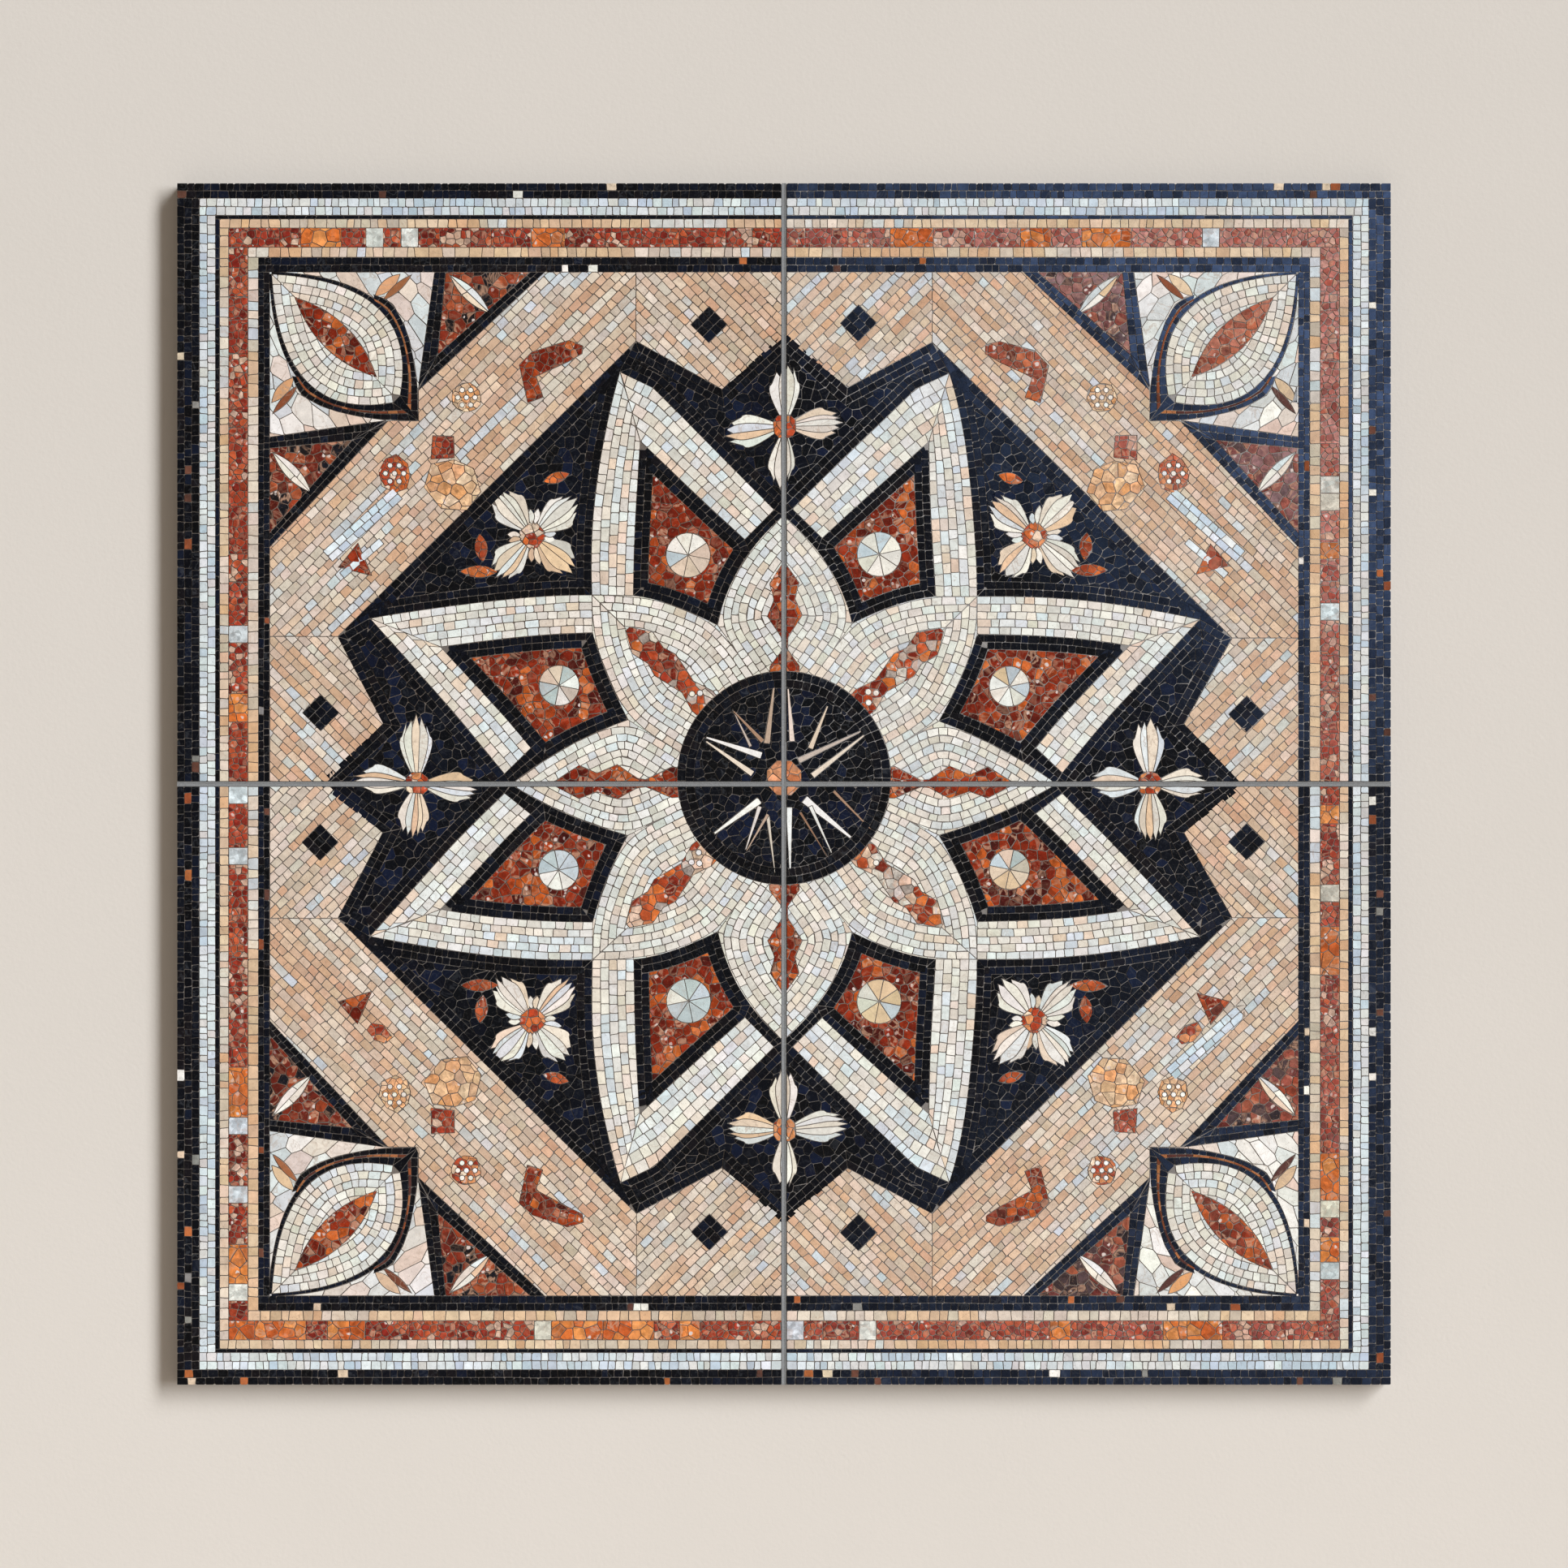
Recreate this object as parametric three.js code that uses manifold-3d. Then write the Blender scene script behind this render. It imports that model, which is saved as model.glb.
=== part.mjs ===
// A square stone mosaic panel for a wall, made in four sections with a grouted joint between them.
// It is modelled lying face up with its back on the plane z = 0, and the whole is then turned upright.
// Each section is a mortar slab with its dark stones on it. The pale, peach and red fields of stones
// are separate inlays, which sit in pockets in the section's face.

import * as THREE from "three";
import { mergeVertices } from "three/addons/utils/BufferGeometryUtils.js";
import Module from "manifold-3d";

const wasm = await Module();
wasm.setup();

// Driving dimensions, in millimetres
const PANEL_WIDTH = 1200;
const PANEL_HEIGHT = 1188;
const THICKNESS = 18;
const STONE_DEPTH = 8;
const SECTION_JOINT = 5;
const JOINT_RECESS = 0.8;
const PATTERN_RISE = 6; // the star's centre is this far above the crossing of the joints

// Gaps that keep neighbouring solids apart
const JOINT_CLEARANCE = 0.3;
const FIELD_JOINT = 0.5;
const BED_GAP = 0.3;
const AXIS_LAP = 2; // how far an outline runs past the star's level axis, to merge with its reflection

// Widths of the border's bands from the edge inwards: at the sides, and at the top and bottom
const BORDER = {
  outerDark: { side: 22, end: 15 },
  white: { side: 16, end: 17 },
  darkLine: { side: 4, end: 3.5 },
  outerPeach: { side: 9, end: 9 },
  red: { side: 19, end: 19 },
  innerPeach: { side: 10.5, end: 10 },
  innerDark: { side: 11, end: 14.5 },
};
const RED_BAND_DEPTH = 6; // the two peach rows beside the red band stay joined below it

// The star, from its centre: u runs outwards to the side, v outwards to the top or bottom
const GROUND_OUTLINE = [
  [0, 441],
  [62, 385],
  [146, 431.5],
  [442, 139],
  [396, 54.5],
  [460, 0],
];
const UPPER_POINT = {
  tip: [162.5, 401],
  shoulder: [129.5, 385.5],
  footOutside: [9, 265],
  footInside: [38, 236],
  crotch: [143, 333],
  root: [148.5, 190],
  outsideBow: [191.7, 309.5],
};
const SIDE_POINT = {
  tip: [410, 157.5],
  footOutside: [275.5, 9.2],
  footInside: [249.5, 32],
  crotch: [340.5, 130.3],
  root: [190, 142.6],
  outsideBow: [300, 179.6],
  insideBow: [271, 140.5],
};
const CROSSING = [190, 180]; // the outer corner, where the bands of the two star points cross
const UPPER_PETAL = { tip: [0, 259], bow: [53, 212.5], end: [66.5, 152] };
const SIDE_PETAL = { tip: [268.5, 0], bow: [214.7, 37.3], end: [154, 57.4] };
const CORNER_PETAL = { upperStart: [149, 180], upperBow: [116, 178], sideBow: [180, 104] };
const MEDALLION_RADIUS = 106;
const UPPER_KITE = [
  [130, 296],
  [55, 231],
  [81, 189],
  [134, 197],
];
const SIDE_KITE = [
  [301, 123],
  [209.5, 125.4],
  [188, 73],
  [242, 52],
];
const CORNER_FLOWER = { centre: [248, 239], reach: 50, waist: 0.42, pinch: 0.6, turn: Math.PI / 4 };
const AXIS_FLOWER = { reach: 57, waist: 0.26, pinch: 1.5, turn: 0 };
const UPPER_FLOWER = { ...AXIS_FLOWER, centre: [0, 347] };
const SIDE_FLOWER = { ...AXIS_FLOWER, centre: [362, 0] };
const DARK_DIAMOND = 17; // half its diagonal
const DARK_DIAMOND_CENTRES = [
  [73.5, 449],
  [458, 63.5],
];

// The corner of the framed field, measured from that corner inwards: a from the side, b from the end
const CORNER = {
  fieldEdge: 272,
  fieldCorner: 117,
  block: 147,
  squareEdge: 163,
  squareWaist: 114,
  triangle: [
    [174, 0],
    [258, 0],
    [166, 82],
  ],
};
const LEAF = {
  tip: [2, 2],
  heel: [129, 122],
  bow: [150, 10],
  taperAt: 0.42, // share of the leaf's edge that has no dark band beside it
  shoulder: [
    [112, 27],
    [122, 32],
    [138, 67],
    [145, 107],
  ],
};
const CURVE_STEPS = 7;
const ROUND_STEPS = 48;
const FLOWER_STEPS = 32;

const QUADRANTS = [
  { name: "top_left", across: -1, up: 1 },
  { name: "top_right", across: 1, up: 1 },
  { name: "bottom_left", across: -1, up: -1 },
  { name: "bottom_right", across: 1, up: -1 },
];

const COLOURS = {
  dark: new THREE.MeshStandardMaterial({ color: 0x12141c, roughness: 0.45, metalness: 0 }),
  pale: new THREE.MeshStandardMaterial({ color: 0xd9d2c6, roughness: 0.55, metalness: 0 }),
  white: new THREE.MeshStandardMaterial({ color: 0xdfe3e1, roughness: 0.55, metalness: 0 }),
  peach: new THREE.MeshStandardMaterial({ color: 0xd8b395, roughness: 0.55, metalness: 0 }),
  red: new THREE.MeshStandardMaterial({ color: 0x9a3a22, roughness: 0.5, metalness: 0 }),
  grout: new THREE.MeshStandardMaterial({ color: 0x80807e, roughness: 0.9, metalness: 0 }),
};

const panel = new THREE.Group();
panel.rotation.x = Math.PI / 2;

// Half the width and half the height of the panel, less the border bands up to and including one
function halfSizes(lastBand) {
  const half = { u: PANEL_WIDTH / 2, v: PANEL_HEIGHT / 2 };
  for (const [name, width] of Object.entries(BORDER)) {
    half.u -= width.side;
    half.v -= width.end;
    if (name === lastBand) break;
  }
  return half;
}

const FIELD = halfSizes("innerDark");

// Points of a quadratic curve, without its first point
function bow(start, middle, end) {
  const curve = new THREE.QuadraticBezierCurve(
    new THREE.Vector2(...start),
    new THREE.Vector2(...middle),
    new THREE.Vector2(...end),
  );
  return curve.getPoints(CURVE_STEPS).slice(1).map((p) => [p.x, p.y]);
}

const swapped = (points) => points.map(([first, second]) => [second, first]).reverse();

// A point given from the middle of the panel, outwards
function fromMiddle(quadrant, [u, v]) {
  return new THREE.Vector2(quadrant.across * u, quadrant.up * v);
}

// A point given from the star's centre, in the panel's plane
function fromStar(quadrant, [u, v]) {
  return new THREE.Vector2(quadrant.across * u, quadrant.up * v + PATTERN_RISE);
}

// A point given from the framed field's corner, in the panel's plane
function fromCorner(quadrant, [a, b]) {
  return new THREE.Vector2(quadrant.across * (FIELD.u - a), quadrant.up * (FIELD.v - b));
}

// The outline moved inwards by a distance, each corner kept sharp
function inset(outline, distance) {
  const points = THREE.ShapeUtils.isClockWise(outline) ? [...outline].reverse() : outline;
  const count = points.length;
  return points.map((point, i) => {
    const before = point.clone().sub(points[(i + count - 1) % count]).normalize();
    const after = points[(i + 1) % count].clone().sub(point).normalize();
    const normals = [before, after].map((d) => new THREE.Vector2(-d.y, d.x));
    const middle = normals[0].clone().add(normals[1]);
    return point.clone().addScaledVector(middle, (2 * distance) / middle.lengthSq());
  });
}

function toSolid(geometry) {
  const bare = geometry.clone();
  bare.deleteAttribute("normal");
  bare.deleteAttribute("uv");
  const merged = mergeVertices(bare, 1e-4);
  const mesh = new wasm.Mesh({
    numProp: 3,
    vertProperties: merged.attributes.position.array,
    triVerts: new Uint32Array(merged.index.array),
  });
  return new wasm.Manifold(mesh);
}

function toGeometry(solid) {
  const mesh = solid.getMesh();
  const positions = new THREE.BufferAttribute(new Float32Array(mesh.vertProperties), 3);
  const geometry = new THREE.BufferGeometry().setAttribute("position", positions);
  geometry.setIndex(new THREE.BufferAttribute(new Uint32Array(mesh.triVerts), 1));
  geometry.computeVertexNormals();
  return geometry;
}

function prism(outline, bottom, top) {
  const geometry = new THREE.ExtrudeGeometry(new THREE.Shape(outline), {
    depth: top - bottom,
    bevelEnabled: false,
  });
  return toSolid(geometry.translate(0, 0, bottom));
}

function block(lowX, lowY, highX, highY, bottom, top) {
  const corners = [[lowX, lowY], [highX, lowY], [highX, highY], [lowX, highY]];
  return prism(corners.map((corner) => new THREE.Vector2(...corner)), bottom, top);
}

const joined = (solids) => solids.reduce((whole, solid) => whole.add(solid));

// The biggest body of a solid, which drops slivers left at a sharp end
function mainBody(solid) {
  return solid.decompose().sort((one, other) => other.volume() - one.volume())[0];
}

// The rectangle of a section's face, as a block between two heights
function sectionBlock(quadrant, bottom, top) {
  const x = [quadrant.across * (SECTION_JOINT / 2), quadrant.across * (PANEL_WIDTH / 2)];
  const y = [quadrant.up * (SECTION_JOINT / 2), quadrant.up * (PANEL_HEIGHT / 2)];
  return block(Math.min(...x), Math.min(...y), Math.max(...x), Math.max(...y), bottom, top);
}

// A border band in one quadrant, an L from joint to joint
function bandOutline(quadrant, bandBefore, lastBand) {
  const outer = halfSizes(bandBefore);
  const inner = halfSizes(lastBand);
  const outside = [[0, outer.v], [outer.u, outer.v], [outer.u, 0]];
  const inside = [[inner.u, 0], [inner.u, inner.v], [0, inner.v]];
  return [...outside, ...inside].map(([u, v]) => fromMiddle(quadrant, [u, v]));
}

// The pale star in one quadrant: two points, the halves of two petals, and the corner petal
function starOutline(quadrant) {
  const points = [
    [0, MEDALLION_RADIUS / 2],
    UPPER_PETAL.tip,
    ...bow(UPPER_PETAL.tip, UPPER_PETAL.bow, UPPER_PETAL.end),
    ...bow(UPPER_PETAL.end, CORNER_PETAL.upperBow, CORNER_PETAL.upperStart),
    UPPER_POINT.root,
    UPPER_POINT.crotch,
    UPPER_POINT.footInside,
    UPPER_POINT.footOutside,
    UPPER_POINT.shoulder,
    UPPER_POINT.tip,
    ...bow(UPPER_POINT.tip, UPPER_POINT.outsideBow, CROSSING),
    ...bow(CROSSING, SIDE_POINT.outsideBow, SIDE_POINT.tip),
    SIDE_POINT.footOutside,
    SIDE_POINT.footInside,
    SIDE_POINT.crotch,
    ...bow(SIDE_POINT.crotch, SIDE_POINT.insideBow, SIDE_POINT.root),
    ...bow(SIDE_POINT.root, CORNER_PETAL.sideBow, SIDE_PETAL.end),
    ...bow(SIDE_PETAL.end, SIDE_PETAL.bow, SIDE_PETAL.tip),
    [SIDE_PETAL.tip[0] - AXIS_LAP, -AXIS_LAP],
    [0, -AXIS_LAP],
  ];
  return points.map((point) => fromStar(quadrant, point));
}

function diamondOutline(quadrant, [u, v]) {
  const half = DARK_DIAMOND;
  const points = [[u + half, v], [u, v + half], [u - half, v], [u, v - half]];
  return points.map((point) => fromStar(quadrant, point));
}

// The peach field, between the framed edge, the corner and the dark ground of the star
function fieldOutline(quadrant) {
  const corner = [
    [CORNER.fieldEdge, 0],
    [CORNER.block, CORNER.fieldCorner],
    [CORNER.block, CORNER.block],
  ];
  const axis = quadrant.up * PATTERN_RISE - AXIS_LAP;
  return [
    ...corner.map((point) => fromCorner(quadrant, point)),
    ...swapped(corner).slice(1).map((point) => fromCorner(quadrant, point)),
    fromMiddle(quadrant, [FIELD.u, axis]),
    fromMiddle(quadrant, [GROUND_OUTLINE.at(-1)[0], axis]),
    ...GROUND_OUTLINE.toReversed().map((point) => fromStar(quadrant, point)),
    fromMiddle(quadrant, [0, FIELD.v]),
  ];
}

function cornerSquareOutline(quadrant) {
  const side = [
    [CORNER.squareEdge, 0],
    [CORNER.block, CORNER.squareWaist],
  ];
  return [[0, 0], ...side, [CORNER.block, CORNER.block], ...swapped(side)].map((point) =>
    fromCorner(quadrant, point),
  );
}

// The dark band that wraps the leaf's heel and thins out along its edges
function leafBandOutline(quadrant) {
  const edge = [LEAF.tip, ...bow(LEAF.tip, LEAF.bow, LEAF.heel)];
  const besideBand = edge.slice(Math.round(LEAF.taperAt * CURVE_STEPS));
  const outside = [...LEAF.shoulder, [CORNER.block, CORNER.squareWaist]];
  const heel = [CORNER.block + 1, CORNER.block + 1];
  const points = [
    ...outside,
    heel,
    ...swapped(outside),
    ...swapped(besideBand.toReversed()),
    ...besideBand.slice(0, -1).reverse(),
  ];
  return points.map((point) => fromCorner(quadrant, point));
}

// Four petals round a centre, as one outline by formula
function flowerOutline(quadrant, { centre, reach, waist, pinch, turn }) {
  const points = [];
  for (let i = 0; i < FLOWER_STEPS; i += 1) {
    const angle = ((i + 0.5) / FLOWER_STEPS) * 2 * Math.PI;
    const swell = Math.abs(Math.cos(2 * (angle - turn))) ** pinch;
    const radius = reach * (waist + (1 - waist) * swell);
    points.push([centre[0] + radius * Math.cos(angle), centre[1] + radius * Math.sin(angle)]);
  }
  return points.map((point) => fromStar(quadrant, point));
}

function reflected(outline) {
  return outline.map((point) => new THREE.Vector2(point.x, 2 * PATTERN_RISE - point.y));
}

// The fields of one section: each has its outline in the face, the shapes left dark inside it,
// and meetsAxis where it crosses the star's level axis, so that its reflection belongs to it too
function fieldsOf(quadrant) {
  const star = (points) => points.map((point) => fromStar(quadrant, point));
  const corner = (points) => points.map((point) => fromCorner(quadrant, point));
  const disc = new THREE.Path().absarc(0, PATTERN_RISE, MEDALLION_RADIUS, 0, 2 * Math.PI);
  return [
    { name: "white_border", colour: "white", outline: bandOutline(quadrant, "outerDark", "white") },
    {
      name: "peach_border",
      colour: "peach",
      outline: bandOutline(quadrant, "darkLine", "innerPeach"),
      channel: bandOutline(quadrant, "outerPeach", "red"),
    },
    { name: "peach_field", colour: "peach", outline: fieldOutline(quadrant), meetsAxis: true,
      dark: DARK_DIAMOND_CENTRES.map((centre) => diamondOutline(quadrant, centre)) },
    { name: "star", colour: "pale", outline: starOutline(quadrant), meetsAxis: true,
      dark: [disc.getPoints(ROUND_STEPS).slice(0, -1)] },
    { name: "corner_leaf", colour: "pale", outline: cornerSquareOutline(quadrant),
      dark: [leafBandOutline(quadrant)] },
    { name: "triangle_upper", colour: "red", outline: corner(CORNER.triangle) },
    { name: "triangle_side", colour: "red", outline: corner(swapped(CORNER.triangle)) },
    { name: "kite_upper", colour: "red", outline: star(UPPER_KITE) },
    { name: "kite_side", colour: "red", outline: star(SIDE_KITE) },
    { name: "flower_corner", colour: "pale", outline: flowerOutline(quadrant, CORNER_FLOWER) },
    { name: "flower_upper", colour: "pale", outline: flowerOutline(quadrant, UPPER_FLOWER) },
    { name: "flower_side", colour: "pale", outline: flowerOutline(quadrant, SIDE_FLOWER), meetsAxis: true },
  ];
}

// A field's shape between two heights, moved in by a gap at every edge
function fieldSolid(field, gap, bottom, top) {
  const outlines = field.meetsAxis ? [field.outline, reflected(field.outline)] : [field.outline];
  const dark = field.meetsAxis ? (field.dark ?? []).flatMap((d) => [d, reflected(d)]) : field.dark ?? [];
  let solid = joined(outlines.map((outline) => prism(inset(outline, gap), bottom, top)));
  for (const outline of dark) {
    solid = solid.subtract(prism(inset(outline, -gap), bottom - 1, top + 1));
  }
  return solid;
}

function addMesh(name, solid, colour) {
  const mesh = new THREE.Mesh(toGeometry(solid), COLOURS[colour]);
  mesh.name = name;
  panel.add(mesh);
}

// One section: the slab with its dark stones, and the inlays in its pockets
function addSection(quadrant) {
  const floor = THICKNESS - STONE_DEPTH;
  const face = sectionBlock(quadrant, 0, THICKNESS);
  let slab = face;
  for (const field of fieldsOf(quadrant)) {
    slab = slab.subtract(fieldSolid(field, 0, floor, THICKNESS + 1));
    let inlay = fieldSolid(field, FIELD_JOINT, floor + BED_GAP, THICKNESS).intersect(face);
    if (field.channel) {
      const channelFloor = THICKNESS - RED_BAND_DEPTH;
      inlay = inlay.subtract(prism(field.channel, channelFloor, THICKNESS + 1));
      const band = prism(inset(field.channel, FIELD_JOINT), channelFloor + BED_GAP, THICKNESS);
      addMesh(`red_border_${quadrant.name}`, band.intersect(face), "red");
    }
    addMesh(`${field.name}_${quadrant.name}`, mainBody(inlay), field.colour);
  }
  addMesh(`section_${quadrant.name}`, mainBody(slab), "dark");
}

// The grout in the joints between the sections, a cross
function addJointCross() {
  const half = SECTION_JOINT / 2 - JOINT_CLEARANCE;
  const top = THICKNESS - JOINT_RECESS;
  const upright = block(-half, -PANEL_HEIGHT / 2, half, PANEL_HEIGHT / 2, 0, top);
  const level = block(-PANEL_WIDTH / 2, -half, PANEL_WIDTH / 2, half, 0, top);
  addMesh("joint_grout", upright.add(level), "grout");
}

QUADRANTS.forEach(addSection);
addJointCross();

export default panel;
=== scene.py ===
import bpy
import cmath
import math
import random
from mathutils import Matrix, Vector
from mathutils.geometry import delaunay_2d_cdt


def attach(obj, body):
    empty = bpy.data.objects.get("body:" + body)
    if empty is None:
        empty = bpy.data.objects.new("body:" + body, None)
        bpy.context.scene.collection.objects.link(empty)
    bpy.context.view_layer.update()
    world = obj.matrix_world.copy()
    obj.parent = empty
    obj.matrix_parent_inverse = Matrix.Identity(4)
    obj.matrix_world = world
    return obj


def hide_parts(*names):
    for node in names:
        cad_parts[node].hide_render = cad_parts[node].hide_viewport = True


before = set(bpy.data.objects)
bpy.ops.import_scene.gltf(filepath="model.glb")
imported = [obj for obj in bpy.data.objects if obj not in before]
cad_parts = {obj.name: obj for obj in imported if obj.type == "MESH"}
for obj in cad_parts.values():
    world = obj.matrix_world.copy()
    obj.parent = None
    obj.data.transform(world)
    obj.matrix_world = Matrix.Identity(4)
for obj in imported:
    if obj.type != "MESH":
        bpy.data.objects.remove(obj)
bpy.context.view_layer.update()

print("frame loaded")

# A place in the panel's face is one complex number in millimetres: across + up * 1j from its middle.
# Each section is drawn as if it were the top right one, and turned over into its place at the end.
mm = 0.001
panel = {"width": 1200, "height": 1188, "thickness": 18, "joint": 5, "rise": 6, "riseOver": 60}
halfU, halfV, halfJoint = panel["width"] / 2, panel["height"] / 2, panel["joint"] / 2
sections = {
    # after the seed: how strong a painted sheen is, which turns the dark and red stones paler and bluer
    # towards the outer corner, how much paler the grout in the face is, and pale how many stones of the peach
    # field are pale ones
    "top_left": {"across": -1, "up": 1, "seed": 11, "paintedSheen": 0.0, "groutPaling": 0.0, "pale": 1.1, "stripes": 2},
    "top_right": {"across": 1, "up": 1, "seed": 23, "paintedSheen": 1.0, "groutPaling": 1.0, "pale": 0.75, "stripes": 2},
    "bottom_left": {"across": -1, "up": -1, "seed": 37, "paintedSheen": 0.0, "groutPaling": 0.1, "pale": 1.0, "stripes": 0},
    "bottom_right": {"across": 1, "up": -1, "seed": 41, "paintedSheen": 0.3, "groutPaling": 0.45, "pale": 1.0, "stripes": 1},
}

# How a stone is cut and set, in millimetres
cut = {
    "gap": 0.66,  # grout between two stones
    "chamfer": 0.2,
    "depth": 1.9,  # how deep most stones are modelled, the rest is in the grout
    "edgeDepth": 7.8,  # stones at the panel's edge show their sides
    "below": 0.3,  # most that a face lies below the panel's
    "grout": 0.75,  # the grout's surface lies this far below the panel's face
    "leastArea": 4.0,
    "darkShare": 0.85,  # dark stones sit closer
    "thin": 1.9,  # a splinter's area over half its girth
    "gapSpread": (0.75, 1.3),
    "thinGap": 0.5,  # splinters have narrower gaps and chamfers
    "thinChamfer": 0.45,
    "darkChamfer": 0.7,
    "tilt": 0.075,
    "lowered": 0.08,
    "cornerShare": 0.4,  # corners that are knocked off, how far, and what their sides must have
    "cornerReach": (0.5, 1.3),
    "cornerSide": 3.2,
}

# Colours of cut stone, as hex sRGB. A colour that stands twice is twice as common
palettes = {
    "dark": "06070d 06070d 080a12 080a12 0b0e17 0d1322 060609 110e12",
    "navy": "06080f 080b15 0c1122 05070c 0a0e18 0f172c 08080b 090b12",
    "accent": "8c4a2c b4673a 6b4436 d9c3a8 e9e4da 8a8782 5a3a30",
    "white": "d3dadb d3dadb cdd6da c4cfd7 d9d8d5 bac7d2 d3cfca dde2e3",
    "peachRow": "d6b593 d6b593 dcc2a4 ceae90 cdad8c dabc9b c6b7a3 d2a882",
    "peachField": "d6b79c d6b79c d8bea8 cfac90 cda384 dcc5b0 d2af94 cab6a1 d3ab8b",
    "peachPale": "dbc9b8 d8c7b7 d3c8bb d0cec9 c9cfd2 dfd0c0 d9bfa7 cebdab d4c5b4",
    "star": "e5ded2 e5ded2 dfdcd4 e8e5dd dcdfde e2d5c6 d5dcdf e0d9cb e4cdb8 dfe2de",
    "petal": "e2dcd0 e2dcd0 dfddd5 d9dcda e5ddd0 e0d4c6 d5dadb e6e3da dad5c7 e0cfbd dcddd6",
    "red": "78200b 78200b 8a2a0f 5e1608 6e1c0a 9c3c15 48100a 80260e b0501d 8a2a0f c0602a",
    "crimson": "8f2f20 7f2419 a33c26 9b3a22 6d1e16 b1502f 943322 c9a892",
    "orange": "c9682e d07a3c be5a28 d98c4e b86a3c",
    "speckled": "a83c1e c4622f 8a2c1a d58a58 e5cdb4 b5482a",
    "patch": "e0a878 dfb58c d89a66 e6c8a6 d9b896",
    "shard": "e6dfd6 dcdcd8 e3d3c6 eeeae2 d3d6d6 e2c9b8 cfd4d4",
    "flower": "ece4d8 e8dccd f0ebe0 d6dcde e6cfb6 ede8dc dfe2e0 e2bf9c",
    "ray": "f0ede6 ece4d8 f2efea",
    "beige": "e0cdb8 d8c2ac e6d6c4 c9b5a8",
    "twig": "8a4a2c 6d3a26 a3663f 54302a",
    "beam": "a98468 8f6a52 c4a890 7b5e4e",
    "scrap": "b4522a c9662f 8f3a20 a84a26",
    "bramble": "7a2a18 8f3a20 1a1416 5c1c12 9a4a2c 15151c 6d2418",
    "disc": "d9d6c6 ece6da c0cad0 d8bc96 cbbca9 e8e6de b9c4c2 dcc6b0",
    "mottled": "7a2414 a8401f c9682e d8b9a0 a89a90 8e2f1b c9bfb4 b4502a 963418",
    "stripe": "dfe6ea d0dce4 e9ecea c4d2dd",
    "hub": "d8956c cc8459 dfa680 c4774c",
    "blank": "c8cfd2 cdc8b8 d6d6d0 bfc6c8",
}
paler = {"peachField": "peachPale", "peachRow": "peachPale"}
pebbles = {"reach": (112, 119, 124), "aside": (-4, 4, -2), "radius": 3.1, "share": 0.7}
# colours that a painted sheen mixes the dark and red stones towards, near a section's outer corner
paintedSheenColours = {"dark": "3f5070", "navy": "3a4c6c", "red": "b5705c", "crimson": "b98078", "speckled": "c98a70",
           "bramble": "8f6f70"}

now = {}  # the section being drawn
stones = {}  # (section, piece) to its stones


# Drawing with complex numbers

def dot(a, b):
    return (a.conjugate() * b).real


def cross(a, b):
    return (a.conjugate() * b).imag


def unit(a):
    return a / (abs(a) or 1)


def mix(a, b, share):
    return a + (b - a) * share


def sidesOf(outline):
    return zip(outline, outline[1:] + outline[:1])


def areaOf(outline):
    return sum(cross(a, b) for a, b in sidesOf(outline)) / 2


def middleOf(outline):
    return sum(outline) / len(outline)


def turnedUp(outline):
    return outline if areaOf(outline) > 0 else outline[::-1]


def swapped(outline):
    return [p.imag + p.real * 1j for p in outline]


def boxOf(outline):
    across, up = [p.real for p in outline], [p.imag for p in outline]
    return min(across), min(up), max(across), max(up)


def bow(start, middle, end, count=14):
    shares = [i / count for i in range(count + 1)]
    return [mix(mix(start, middle, s), mix(middle, end, s), s) for s in shares]


def lengthOf(line):
    return sum(abs(b - a) for a, b in zip(line, line[1:]))


def resampled(line, count):
    ends = [0.0]
    for a, b in zip(line, line[1:]):
        ends.append(ends[-1] + abs(b - a))
    points, i = [], 0
    for k in range(count):
        reach = ends[-1] * k / (count - 1)
        while i < len(line) - 2 and ends[i + 1] < reach:
            i += 1
        step = ends[i + 1] - ends[i]
        points.append(mix(line[i], line[i + 1], (reach - ends[i]) / step if step else 0))
    return points


def along(line, share):
    place = min(max(share, 0), 1) * (len(line) - 1)
    i = min(int(place), len(line) - 2)
    return mix(line[i], line[i + 1], place - i)


def reachTo(p, line):
    shortest = abs(p - line[0])
    for a, b in zip(line, line[1:]):
        share = dot(b - a, p - a) / (abs(b - a) ** 2 or 1)
        shortest = min(shortest, abs(p - mix(a, b, min(max(share, 0), 1))))
    return shortest


def offsetLine(line, distance):  # to the left of the way it runs
    moved = []
    for i, p in enumerate(line):
        before = unit(p - line[i - 1]) if i else unit(line[1] - p)
        after = unit(line[i + 1] - p) if i + 1 < len(line) else before
        normal = 1j * unit(before + after)
        moved.append(p + normal * distance / max(0.4, dot(normal, 1j * before)))
    return [p for p in moved if reachTo(p, line) > 0.97 * abs(distance)]


def insetOutline(outline, distance):
    moved = []
    for i, p in enumerate(outline):
        before = unit(p - outline[i - 1])
        after = unit(outline[(i + 1) % len(outline)] - p)
        middle = 1j * (before + after)
        moved.append(p + middle * (2 * distance / max(0.12, abs(middle) ** 2)))
    return moved


def clipped(outline, point, normal):  # what lies behind the line through point
    kept = []
    for a, b in sidesOf(outline):
        ahead, next = dot(a - point, normal), dot(b - point, normal)
        if ahead <= 0:
            kept.append(a)
        if (ahead < 0 < next) or (next < 0 < ahead):
            kept.append(mix(a, b, ahead / (ahead - next)))
    return kept


def isConvex(outline):
    steps = [b - a for a, b in sidesOf(outline)]
    return all(cross(a, b) > -1e-9 for a, b in sidesOf(steps))


def shrunk(outline, distance):
    if not isConvex(outline):
        moved = insetOutline(outline, distance)
        return moved if 0 < areaOf(moved) < areaOf(outline) else []
    kept = outline
    for a, b in sidesOf(outline):
        inward = 1j * unit(b - a)
        kept = clipped(kept, a + inward * distance, -inward)
        if len(kept) < 3:
            return []
    return kept


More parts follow.
